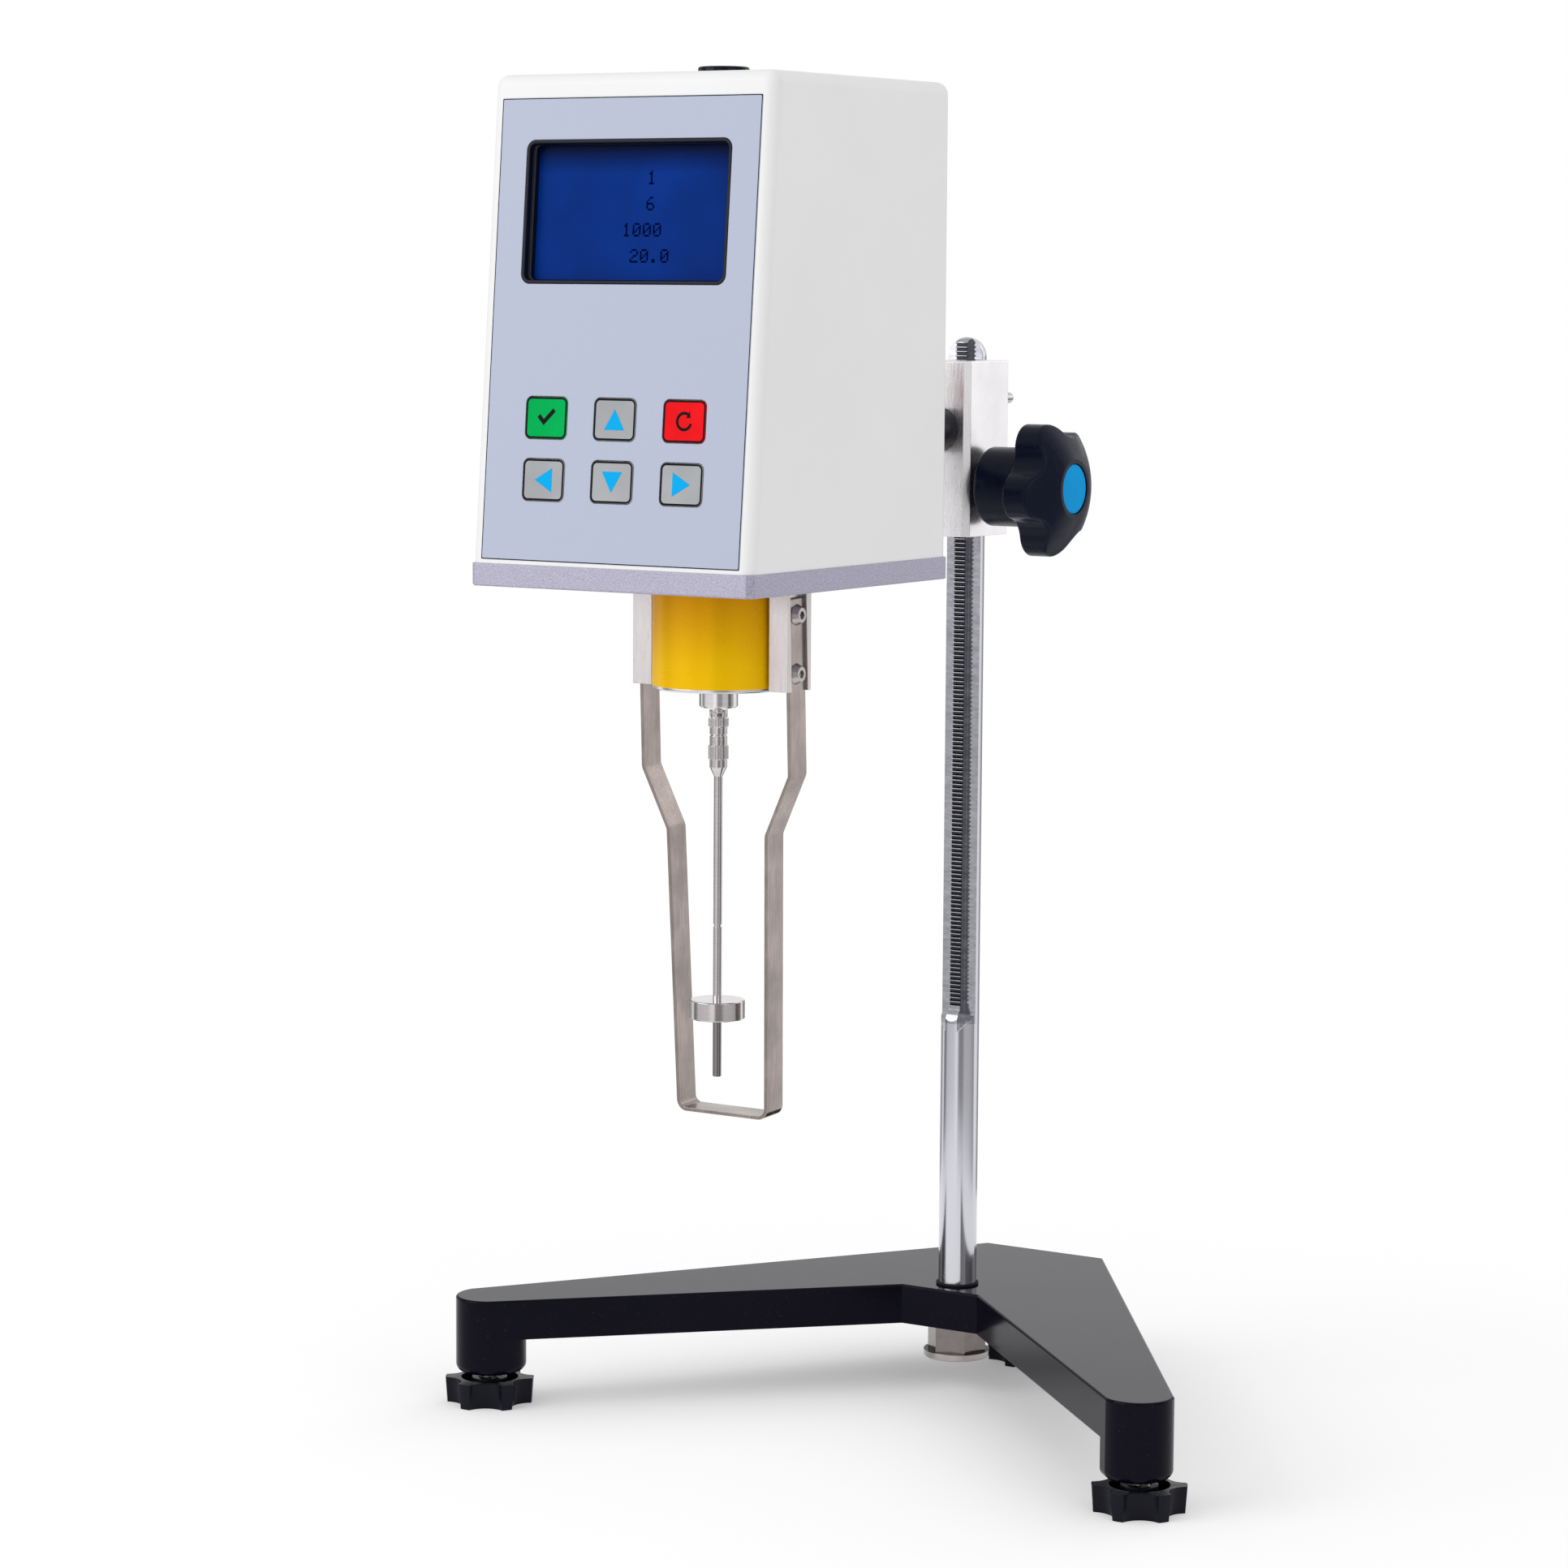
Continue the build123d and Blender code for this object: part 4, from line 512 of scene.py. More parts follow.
@dataclass(frozen=True)
class PowderCoat(Finish):
    """Sprayed enamel on sheet metal: satin, with a very fine orange peel."""

    rough: float = 0.36
    gloss: float = 0.5
    coat: float = 0.12

    def brush(self, bench: NodeBench) -> None:
        """Lays the coat.

        Args:
            bench: The bench whose shader it is laid on.
        """
        soft, edge = bench.edges(0.0006)
        tone = self.clouded(bench, bench.noise(0.05, 3.0), 0.985, 1.01)
        bench.lay(
            # painted highlight: the coat's edges turn to a lighter tint
            Base_Color=self.edge_highlight(bench, edge, tone, 0.3, 1.06),
            Roughness=bench.spread(bench.noise(0.004, 4.0), self.rough - 0.05, self.rough + 0.06),
            Normal=bench.bump(bench.noise(0.0011, 2.0), 0.00003, 0.16, soft),
            Coat_Weight=self.coat,
            Coat_Roughness=0.2,
            Specular_IOR_Level=self.gloss,
        )


@dataclass(frozen=True)
class HammerPaint(Finish):
    """Grey metallic paint with fine aluminium flake over a lightly pebbled ground."""

    flake: float = 0.00055

    def brush(self, bench: NodeBench) -> None:
        """Lays the flake paint.

        Args:
            bench: The bench whose shader it is laid on.
        """
        soft, edge = bench.edges(0.0004)
        flakes = bench.spread(bench.noise(self.flake, 3.0, rough=0.7), 0.0, 1.0, 0.35, 0.68)
        tone = bench.blend(flakes, self.tint(0.70), self.tint(1.40))
        shaded = bench.blend(bench.spread(bench.noise(0.004, 3.0), 0.0, 0.35), tone, self.tint(0.92))
        bench.lay(
            # painted highlight: the paint's edges turn to a lighter tint
            Base_Color=self.edge_highlight(bench, edge, shaded, 0.4, 1.4),
            Roughness=bench.spread(bench.noise(self.flake, 3.0), 0.36, 0.52),
            Normal=bench.bump(bench.noise(0.0009, 3.0), 0.00005, 0.30, soft),
            Metallic=0.35,
        )


@dataclass(frozen=True)
class PrintedFilm(Finish):
    """A matt printed membrane: a flat ink with a faint screen grain under a clear skin."""

    sheen: float = 0.15

    def brush(self, bench: NodeBench) -> None:
        """Lays the film.

        Args:
            bench: The bench whose shader it is laid on.
        """
        soft, _ = bench.edges(0.0003)
        grain = bench.noise(0.0006, 2.0)
        tone = self.clouded(bench, grain, 0.985, 1.012)
        bench.lay(
            Base_Color=bench.blend(bench.spread(bench.noise(0.06, 2.0), 0.0, 0.25), tone, self.tint(0.985)),
            Roughness=bench.spread(grain, 0.42, 0.52),
            Normal=bench.bump(grain, 0.00001, 0.25, soft),
            Specular_IOR_Level=self.sheen,
        )


@dataclass(frozen=True)
class GlossPlastic(Finish):
    """Polished plastic with fine wiping scratches and bright edges."""

    rough: float = 0.10
    gloss: float = 0.12

    def brush(self, bench: NodeBench) -> None:
        """Lays the polished surface.

        Args:
            bench: The bench whose shader it is laid on.
        """
        soft, edge = bench.edges(0.00035)
        scratch = bench.spread(bench.noise(0.003, 6.0, (1.0, 12.0, 3.0), 0.8), 0.0, 1.0, 0.60, 0.72)
        bench.lay(
            Base_Color=self.clouded(bench, bench.noise(0.015, 2.0), 0.92, 1.08),
            Roughness=bench.partly(scratch, self.rough + 0.14, self.rough),
            Normal=bench.bump(scratch, 0.00001, 0.15, soft),
            Coat_Weight=bench.partly(edge, 0.8, 0.03),
            Coat_Roughness=0.05,
            Specular_IOR_Level=self.gloss,
        )


@dataclass(frozen=True)
class LitScreen(Finish):
    """A backlit liquid crystal field: a dot lattice that glows a little, in shade at the top."""

    pitch: float = 0.0005
    glow: float = 0.10
    shade_from: float = 442.0 * MM
    shade_to: float = 450.5 * MM

    def brush(self, bench: NodeBench) -> None:
        """Lays the lit field.

        Args:
            bench: The bench whose shader it is laid on.
        """
        upright = {"Rotation": (math.radians(-90.0), 0.0, 0.0), "Vector": bench.coords()}
        feeds = {"Scale": 1.0 / self.pitch, "Mortar Size": 0.06, "Brick Width": 1.0, "Row Height": 1.0}
        feeds["Vector"] = bench.node("Mapping", upright).outputs["Vector"]
        lattice = bench.node("TexBrick", feeds, offset=0.0).outputs["Fac"]
        cloud = bench.noise(0.03, 2.0)
        tone = bench.blend(bench.spread(cloud, 0.0, 1.0, 0.35, 0.65), self.tint(0.86), self.tint(1.18))
        dots = bench.blend(bench.partly(lattice, 0.35), tone, self.tint(0.6))
        shade = bench.spread(bench.along("Z"), 0.0, 0.9, self.shade_from, self.shade_to)
        shown = bench.blend(shade, dots, self.tint(0.04))
        bench.lay(
            Base_Color=shown,
            Emission_Color=shown,
            Roughness=bench.spread(cloud, 0.20, 0.32),
            Emission_Strength=self.glow,
            Specular_IOR_Level=0.02,
        )


@dataclass(frozen=True)
class ClearVial(Finish):
    """The level's clear body, tinted by its liquid."""

    def brush(self, bench: NodeBench) -> None:
        """Lays the clear body.

        Args:
            bench: The bench whose shader it is laid on.
        """
        streak = bench.noise(0.004, 2.0)
        bench.lay(
            Base_Color=self.clouded(bench, streak, 0.95, 1.05),
            Roughness=bench.spread(streak, 0.02, 0.06),
            Transmission_Weight=0.85,
            IOR=1.47,
        )


@dataclass(frozen=True)
class CircuitLacquer(Finish):
    """Solder resist over copper tracks."""

    tracks_per_metre: float = 260.0

    def brush(self, bench: NodeBench) -> None:
        """Lays the lacquer and its tracks.

        Args:
            bench: The bench whose shader it is laid on.
        """
        soft, _ = bench.edges(0.0002)
        feeds = {"Scale": self.tracks_per_metre, "Vector": bench.coords()}
        tracks = bench.node("TexVoronoi", feeds, distance="MANHATTAN", feature="DISTANCE_TO_EDGE")
        line = bench.spread(tracks.outputs["Distance"], 1.0, 0.0, 0.03, 0.06)
        bench.lay(
            Base_Color=bench.blend(line, self.colour, self.tint(2.2)),
            Roughness=bench.spread(bench.noise(0.003), 0.25, 0.4),
            Normal=bench.bump(line, 0.00003, 0.4, soft),
        )


@dataclass(frozen=True)
class FoilLabel(Finish):
    """Gold-yellow foil wrapped round a tube, with a very slight cockle; the shade of the plate above is painted on
    it as amber at the top.
    """

    plate_shade_amber: Colour = (0.80, 0.33, 0.0)
    plate_shade_from: float = 282.0 * MM
    plate_shade_full_at: float = 309.0 * MM

    def brush(self, bench: NodeBench) -> None:
        """Lays the foil and its painted shade.

        Args:
            bench: The bench whose shader it is laid on.
        """
        cockle = bench.noise(0.012, 1.0, (1.0, 1.0, 0.35))
        # painted shade: the foil turns amber towards the top, under the plate's shadow
        height = bench.spread(bench.along("Z"), 0.0, 1.0, self.plate_shade_from, self.plate_shade_full_at)
        bench.lay(
            Base_Color=bench.blend(height, self.clouded(bench, cockle, 0.96, 1.03), self.plate_shade_amber),
            Roughness=bench.spread(bench.noise(0.006, 2.0), 0.26, 0.32),
            Normal=bench.bump(cockle, 0.00004, 0.12),
            Metallic=0.15,
            Specular_IOR_Level=0.1,
        )


@dataclass(frozen=True)
class Finishes:
    """Every finish on the instrument, by the name of its material slot."""

    base_enamel: Finish = CastEnamel("base_enamel", (0.0024, 0.0020, 0.0078))
    stand_chrome: Finish = RackChrome("stand_chrome", (0.65, 0.65, 0.70))
    black_plastic: Finish = MouldedPlastic("black_plastic", (0.0022, 0.0042, 0.0190), 0.27, sheen=0.15)
    foot_plastic: Finish = MouldedPlastic("foot_plastic", (0.0035, 0.0038, 0.0100), 0.30, sheen=0.16)
    rocker_red: Finish = MouldedPlastic("rocker_red", (0.42, 0.012, 0.012), 0.35, sheen=0.3)
    black_rubber: Finish = MouldedPlastic("black_rubber", (0.008, 0.008, 0.009), 0.75, sheen=0.2)
    zinc_steel: Finish = WorkedMetal("zinc_steel", (0.50, 0.465, 0.45), Grain.NONE, 0.20, 0.004)
    worn_steel: Finish = WorkedMetal("worn_steel", (0.24, 0.205, 0.205), Grain.NONE, 0.13, 0.004)
    block_aluminium: Finish = WorkedMetal("block_aluminium", (0.95, 0.93, 0.94), Grain.ALONG_Z, 0.28, contrast=0.06)
    bar_aluminium: Finish = WorkedMetal("bar_aluminium", (0.68, 0.635, 0.64), Grain.ALONG_Z, 0.30, contrast=0.12)
    turned_aluminium: Finish = WorkedMetal("turned_aluminium", (0.88, 0.86, 0.87), Grain.ROUND_Z, 0.18)
    black_steel: Finish = PowderCoat("black_steel", (0.006, 0.006, 0.012), 0.30, 0.13, 0.0)
    blue_plastic: Finish = MouldedPlastic("blue_plastic", (0.0, 0.320, 0.720), 0.34, sheen=0.03)
    brass: Finish = WorkedMetal("brass", (0.62, 0.45, 0.18), Grain.ROUND_Z, 0.28)
    white_enamel: Finish = PowderCoat("white_enamel", (0.86, 0.86, 0.865), 0.38, 0.2, 0.05)
    plate_hammered: Finish = HammerPaint("plate_hammered", (0.425, 0.41, 0.515))
    panel_film: Finish = PrintedFilm("panel_film", (0.480, 0.522, 0.648))
    bezel_black: Finish = GlossPlastic("bezel_black", (0.004, 0.006, 0.014))
    lcd_blue: Finish = LitScreen("lcd_blue", (0.001, 0.026, 0.205))
    board_green: Finish = CircuitLacquer("board_green", (0.01, 0.12, 0.045))
    key_green: Finish = MouldedPlastic("key_green", (0.0, 0.430, 0.088), 0.50, sheen=0.03)
    key_red: Finish = MouldedPlastic("key_red", (0.94, 0.010, 0.015), 0.50, sheen=0.03)
    key_grey: Finish = MouldedPlastic("key_grey", (0.398, 0.409, 0.424), 0.50, sheen=0.03)
    level_glass: Finish = ClearVial("level_glass", (0.62, 0.80, 0.34))
    steel: Finish = WorkedMetal("steel", (0.475, 0.405, 0.378), Grain.ALONG_Z, 0.20, 0.012, contrast=0.40)
    turned_steel: Finish = SpindleSteel("turned_steel", (0.70, 0.655, 0.655), Grain.ROUND_Z, 0.09, depth=0.000012)
    label_yellow: Finish = FoilLabel("label_yellow", (1.0, 0.57, 0.0))
    gear_plastic: Finish = MouldedPlastic("gear_plastic", (0.80, 0.77, 0.68), 0.40)
    arrow_ink: Finish = PrintedFilm("arrow_ink", (0.0, 0.423, 0.871), 0.05)
    dark_ink: Finish = PrintedFilm("dark_ink", (0.008, 0.008, 0.010), 0.05)
    dot_ink: Finish = PrintedFilm("dot_ink", (0.0, 0.004, 0.034), 0.0)
    bubble_air: Finish = GlossPlastic("bubble_air", (0.80, 0.90, 0.66), 0.05, 0.5)


# ---------------------------------------------------------------- mesh shop


def polar(radius: float, angle: float, height: float = 0.0) -> Vector:
    """A point at a distance and an angle round Z."""
    return Vector((radius * math.cos(angle), radius * math.sin(angle), height))


class MeshShop:
    """Makes meshes from code and puts them on the bodies that they ride on."""

    @staticmethod
    def piece(
        name: str, shape: Shape, finish: Finish, body: str, slot: str, smooth: bool = False
    ) -> bpy.types.Object:
        """Builds one mesh object and lets it ride on a body.

        Args:
            name: The piece's name.
            shape: Its corners in the row frame, in metres, and its faces.
            finish: What it is finished with.
            body: The CAD body that carries it.
            slot: The record's material slot that its finish belongs to; not used.
            smooth: Whether its faces are shaded smooth.

        Returns:
            The new object.
        """
        mesh = bpy.data.meshes.new(name)
        mesh.from_pydata([tuple(p) for p in shape[0]], [], [tuple(f) for f in shape[1]])
        mesh.validate()
        work = bmesh.new()
        work.from_mesh(mesh)
        bmesh.ops.remove_doubles(work, verts=work.verts, dist=1e-8)
        bmesh.ops.recalc_face_normals(work, faces=work.faces)
        for face in work.faces:
            face.smooth = smooth
        work.to_mesh(mesh)
        work.free()
        made = bpy.data.objects.new(name, mesh)
        bpy.context.scene.collection.objects.link(made)
        mesh.materials.append(finish.make())
        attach(made, body)
        LOG.info("built %s on %s", name, body)
        return made

    @staticmethod
    def slab(outline: Sequence[Vector], lift: Vector) -> Shape:
        """A flat closed plate.

        Args:
            outline: The corners of its lower face, in order.
            lift: The step from its lower face to its upper face.

        Returns:
            Its corners and its faces.
        """
        count = len(outline)
        points = [Vector(p) for p in outline] + [Vector(p) + lift for p in outline]
        faces = [list(range(count - 1, -1, -1)), list(range(count, 2 * count))]
        faces += [[n, (n + 1) % count, count + (n + 1) % count, count + n] for n in range(count)]
        return points, faces

    @staticmethod
    def joined(parts: Iterable[Shape]) -> Shape:
        """Several closed shapes as one.

        Args:
            parts: The corners and faces of each shape.

        Returns:
            All corners and faces.
        """
        points: list[Vector] = []
        faces: list[list[int]] = []
        for more_points, more_faces in parts:
            start = len(points)
            points += more_points
            faces += [[start + n for n in f] for f in more_faces]
        return points, faces

    @staticmethod
    def laps(rings: int, count: int, closed: bool = True) -> list[list[int]]:
        """Faces between rings of corners that follow each other.

        Args:
            rings: How many rings there are.
            count: How many corners each ring has.
            closed: Whether the last ring is joined to the first one.

        Returns:
            The faces.
        """
        faces = []
        for lap in range(rings if closed else rings - 1):
            low, high = lap * count, (lap + 1) % rings * count
            faces += [[low + s, low + (s + 1) % count, high + (s + 1) % count, high + s] for s in range(count)]
        return faces

    @staticmethod
    def lathe(profile: Sequence[Spot], segments: int = 48) -> Shape:
        """A closed turned shape about Z.

        Args:
            profile: Radius and height from the bottom centre to the top centre.
            segments: How many sides it has.

        Returns:
            Its corners and its faces.
        """
        points: list[Vector] = []
        rings: list[list[int]] = []
        for radius, height in profile:
            count = segments if radius > 1e-9 else 1
            rings.append(list(range(len(points), len(points) + count)))
            points += [polar(radius, 2 * math.pi * step / segments, height) for step in range(count)]
        faces: list[list[int]] = []
        for low, high in zip(rings, rings[1:]):
            for step in range(segments):
                pairs = ((low, step), (low, step + 1), (high, step + 1), (high, step))
                unique = list(dict.fromkeys(ring[number % segments % len(ring)] for ring, number in pairs))
                if len(unique) > 2:
                    faces.append(unique)
        return points, faces

    @staticmethod
    def moved(shape: Shape, matrix: Matrix) -> Shape:
        """The same shape somewhere else."""
        return [matrix @ p for p in shape[0]], shape[1]


@dataclass
class SubAssembly:
    """What every sub-assembly shares."""

    finishes: Finishes
    nodes: dict[str, bpy.types.Object]

    def build(self) -> None:
        """Builds the meshes that the CAD nodes lack; most sub-assemblies need none."""

    def dress(self) -> None:
        """Gives every CAD node of the sub-assembly its finish."""
        raise NotImplementedError

    def coat(self, finish: Finish, *names: str) -> None:
        """Puts a finish in every material slot of some CAD nodes.

        Args:
            finish: The finish.
            *names: The nodes' names.
        """
        material = finish.make()
        for name in names:
            mesh = self.nodes[name].data
            if not mesh.materials:
                mesh.materials.append(material)
            for number in range(len(mesh.materials)):
                mesh.materials[number] = material
            LOG.info("dressed %s in %s", name, finish.name)


# ---------------------------------------------------------------- stand


@dataclass
class Thread:
    """A rolled metric thread about a vertical or a lying axis."""

    outer_r: float
    pitch: float
    start: float
    end: float
    centre: Point
    along: Point = (0.0, 0.0, 1.0)
    segments: int = 36
    rows_per_turn: int = 6
    depth_share: float = 0.54
    flank: float = 0.8

    def shape(self) -> Shape:
        """Builds the threaded bar with its two chamfered ends.

        Returns:
            Its corners and its faces.
        """
        depth = self.depth_share * self.pitch
        rows = max(4, round((self.end - self.start) / self.pitch * self.rows_per_turn))
        points: list[Vector] = []
        for row in range(rows + 1):
            height = self.start + (self.end - self.start) * row / rows
            run_out = min(height - self.start, self.end - height)
            for step in range(self.segments):
                phase = (height / self.pitch - step / self.segments) % 1.0
                groove = depth * (1.0 - abs(2.0 * phase - 1.0)) ** self.flank
                radius = self.outer_r - max(groove, min(depth, depth - run_out))
                points.append(polar(radius, 2 * math.pi * step / self.segments, height))
        faces = MeshShop.laps(rows + 1, self.segments, closed=False)
        faces.append(list(range(self.segments - 1, -1, -1)))
        faces.append([rows * self.segments + step for step in range(self.segments)])
        turn = Vector((0.0, 0.0, 1.0)).rotation_difference(Vector(self.along)).to_matrix().to_4x4()
        return MeshShop.moved((points, faces), Matrix.Translation(self.centre) @ turn)


@dataclass
class Stand(SubAssembly):
    """The cast base, its levelling feet, and the chromed rack column."""

    stud_r: float = 4.0 * MM
    stud_pitch: float = 1.25 * MM
    sides: tuple[str, ...] = ("left", "right", "rear")

    def build(self) -> None:
        """Threads the studs of the three feet."""
        for side in self.sides:
            low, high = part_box(f"foot_stud_{side}")
            centre = (low + high) / 2
            thread = Thread(self.stud_r, self.stud_pitch, low.z, high.z, (centre.x, centre.y, 0.0))
            stud = MeshShop.piece(
                f"foot_thread_{side}", thread.shape(), self.finishes.zinc_steel, f"stud_{side}", "zinc_steel"
            )
            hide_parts(f"foot_stud_{side}")

    def dress(self) -> None:
        """Enamels the base, chromes the column and finishes the small parts."""
        self.coat(self.finishes.base_enamel, "stand_base")
        self.coat(self.finishes.stand_chrome, "rack_column")
        self.coat(self.finishes.black_rubber, "column_gasket")
        self.coat(self.finishes.worn_steel, "column_nut")
        self.coat(self.finishes.zinc_steel, "column_washer")
        for side in self.sides:
            self.coat(self.finishes.zinc_steel, f"foot_stud_{side}")
            self.coat(self.finishes.foot_plastic, f"foot_knob_{side}")


@dataclass
class ClampAndLift(SubAssembly):
    """The clamp block, its pinion drive, and the rod that carries the head."""

    tension_r: float = 2.0 * MM
    tension_pitch: float = 0.7 * MM

    def build(self) -> None:
        """Threads the tension screw behind the block."""
        low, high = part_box("tension_screw")
        centre = (low + high) / 2
        place, along = (centre.x, low.y, centre.z), (0.0, 1.0, 0.0)
        thread = Thread(self.tension_r, self.tension_pitch, 0.0, high.y - low.y, place, along, 24)
        screw = MeshShop.piece(
            "tension_thread", thread.shape(), self.finishes.turned_aluminium, "head", "zinc_steel"
        )
        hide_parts("tension_screw")

    def dress(self) -> None:
        """Brushes the block and finishes the drive."""
        self.coat(self.finishes.block_aluminium, "clamp_block", "rod_bracket")
        self.coat(self.finishes.black_steel, "pinion_bushes", "rod_grub_screw", "support_rod")
        self.coat(self.finishes.turned_steel, "pinion_shaft")
        self.coat(self.finishes.black_plastic, "lift_knob")
        self.coat(self.finishes.blue_plastic, "lift_knob_cap")
        self.coat(self.finishes.turned_aluminium, "tension_screw", "tension_nut")


# ---------------------------------------------------------------- head


@dataclass
class HeadShell(SubAssembly):
    """The plate, the sheet cover and its fittings."""

    bubble_r: float = 2.3 * MM
    bubble_drop: float = 0.25 * MM
    bubble: tuple[Spot, ...] = ((0.0, 1.1), (0.6, 0.95), (1.0, 0.45), (0.93, 0.15), (0.6, 0.03), (0.0, 0.0))
    target_r: float = 3.3 * MM
    target_line: float = 0.25 * MM
    target_rise: float = 0.04 * MM
    target_sides: int = 40

    def build(self) -> None:
        """Puts the bubble and its target ring in the level."""
        low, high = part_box("level_vial")
        centre = (low + high) / 2
        place = Matrix.Translation((centre.x, centre.y, 0.0))
        cap = high.z - self.bubble_drop
        dome = MeshShop.lathe([(share * self.bubble_r, cap - drop * MM) for share, drop in self.bubble], 32)
        shape = MeshShop.moved(dome, place)
        MeshShop.piece("level_bubble", shape, self.finishes.bubble_air, "head", "level_glass", smooth=True)
        outer, inner = self.target_r + self.target_line, self.target_r
        top = high.z + self.target_rise
        count = self.target_sides
        section = ((outer, high.z), (outer, top), (inner, top), (inner, high.z))
        ring = [polar(radius, 2 * math.pi * s / count, height) for radius, height in section for s in range(count)]
        shape = MeshShop.moved((ring, MeshShop.laps(len(section), count)), place)
        MeshShop.piece("level_target", shape, self.finishes.dark_ink, "head", "bezel_black")

    def dress(self) -> None:
        """Enamels the cover and finishes its fittings."""
        self.coat(self.finishes.plate_hammered, "base_plate")
        self.coat(self.finishes.white_enamel, "housing_cover")
        self.coat(self.finishes.zinc_steel, "cover_screws", "probe_socket")
        self.coat(self.finishes.bezel_black, "level_bezel")
        self.coat(self.finishes.level_glass, "level_vial")
        self.coat(self.finishes.black_plastic, "power_inlet")
        self.coat(self.finishes.rocker_red, "power_rocker")


@dataclass
class PanelPlane:
    """The leaning front face: across, up the face, and out of it."""

    lean: float = math.radians(4.86)
    foot: Point = (0.0, -150.95 * MM, 316.3 * MM)

    def at(self, across: float, up: float, out: float) -> Vector:
        """A point on the face.

        Args:
            across: To the right of the middle.
            up: Up the face from the plate.
            out: In front of the face.

        Returns:
            The point in the row frame.
        """
        rise = Vector((0.0, math.sin(self.lean), math.cos(self.lean)))
        return Vector(self.foot) + Vector((across, 0.0, 0.0)) + rise * up + self.out(out)

    def out(self, amount: float) -> Vector:
        """A step out of the face."""
        return Vector((0.0, -math.cos(self.lean), math.sin(self.lean))) * amount


@dataclass
class ControlPanel(SubAssembly):
    """The membrane panel, the display and the six keys."""

    plane: PanelPlane = field(default_factory=PanelPlane)
    panel_wide: float = 99.5 * MM
    panel_tall: float = 148.9 * MM
    panel_rise: float = 1.5 * MM
    panel_proud: float = 0.2 * MM
    key_pitch_x: float = 26.6 * MM
    key_pitch_y: float = 20.0 * MM
    key_rise: float = 27.7 * MM
    key_proud: float = 0.35 * MM
    key_wide: float = 15.9 * MM
    key_tall: float = 13.4 * MM
    key_corner: float = 2.0 * MM
    rim: float = 0.62 * MM
    rim_inset: float = 0.05 * MM
    arrow_half: float = 3.9 * MM
    arrow_reach: float = 0.86
    ring_outer: float = 3.1 * MM
    ring_inner: float = 2.15 * MM
    ring_start: float = math.radians(60.0)
    ring_sweep: float = math.radians(285.0)
    ring_steps: int = 30
    barb_outer: float = 3.95 * MM
    barb_inner: float = 1.3 * MM
    barb_tip: Spot = (2.62 * MM, math.radians(34.0))
    print_thick: float = 0.03 * MM
    # How wide the painted shadow of the gap round the panel is.
    gap_shadow_width: float = 0.28 * MM
    screen_rise: float = 113.9 * MM
    screen_depth: float = 4.0 * MM
    bezel_wide: float = 78.8 * MM
    bezel_tall: float = 46.3 * MM
    bezel_corner: float = 3.4 * MM
    bezel_least_corner: float = 0.7 * MM
    dot: float = 0.62 * MM
    dot_gap: float = 0.02
    letter_pitch: float = 3.9
    rows: tuple[tuple[float, str], ...] = ((5.2, "1"), (5.2, "6"), (-3.5, "1000"), (-0.2, "20.0"))
    text_drop: float = 1.25 * MM
    row_pitch: float = 8.3 * MM

    # How far each ring stands in from the bezel's left, right and ends, and out of the face, in mm.
    BEZEL = (
        (0.0, 0.0, 0.0, -3.95),
        (0.0, 0.0, 0.0, 0.12),
        (0.12, 0.12, 0.12, 0.25),
        (0.32, 0.32, 0.32, 0.30),
        (0.95, 0.95, 0.95, 0.30),
        (1.15, 1.15, 1.15, 0.22),
        (1.25, 1.25, 1.25, -0.05),
        (1.35, 1.30, 1.30, -1.75),
        (1.50, 1.40, 1.40, -1.95),
        (2.05, 1.50, 1.50, -2.05),
        (2.20, 1.60, 1.60, -2.20),
        (2.30, 1.75, 1.70, -3.95),
    )
    TICK = ((-3.4, 0.2), (-2.4, 1.2), (-0.9, -0.4), (2.6, 3.1), (3.6, 2.1), (-0.9, -2.4))
    GLYPHS = {
        "0": ("01110", "10001", "10011", "10101", "11001", "10001", "01110"),
        "1": ("00100", "01100", "00100", "00100", "00100", "00100", "01110"),
        "2": ("01110", "10001", "00001", "00110", "01000", "10000", "11111"),
        "6": ("00110", "01000", "10000", "11110", "10001", "10001", "01110"),
        ".": ("00000", "00000", "00000", "00000", "00000", "01100", "01100"),
    }

    def build(self) -> None:
        """Paints the shadow of the gap round the panel, prints the key symbols, and sets the display's digits."""
        self._gap_shadow()
        for arrow in (Arrow.UP, Arrow.LEFT, Arrow.DOWN, Arrow.RIGHT):
            self._arrow(arrow.name.lower(), arrow)
        for name in ("ok", "up", "reset", "left", "down", "right"):
            self._key_rim(name)
        self._tick()
        self._return_mark()
        self._bezel()
        self._digits()

    def _key_place(self, name: str) -> Spot:
        """Finds where a key's middle is.

        Args:
            name: The key's name.

        Returns:
            Its place across and up the face.
        """
        column = {"ok": -1, "left": -1, "up": 0, "down": 0, "reset": 1, "right": 1}[name]
        row = 1 if name in ("ok", "up", "reset") else 0
        return column * self.key_pitch_x, self.key_rise + row * self.key_pitch_y

    def _print(
        self, name: str, outlines: Iterable[Sequence[Spot]], finish: Finish, body: str, slot: str, out: float
    ) -> None:
        """Prints flat shapes on the face, as one piece.

        Args:
            name: The piece's name.
            outlines: The corners of each shape, across and up the face.
            finish: Its ink.
            body: What carries it.
            slot: The material slot of its ink.
            out: How far out of the face it lies.
        """
        lift = self.plane.out(self.print_thick)
        flats = [MeshShop.slab([self.plane.at(u, v, out) for u, v in outline], lift) for outline in outlines]
        MeshShop.piece(name, MeshShop.joined(flats), finish, body, slot)

    def _hoop(self, rings: Sequence[tuple[Sequence[Spot], float]]) -> Shape:
        """A closed hoop on the face.

        Args:
            rings: Its outlines in the order round its section, each with how far out it lies.

        Returns:
            Its corners and its faces.
        """
        points = [self.plane.at(u, v, out) for outline, out in rings for u, v in outline]
        return points, MeshShop.laps(len(rings), len(rings[0][0]))

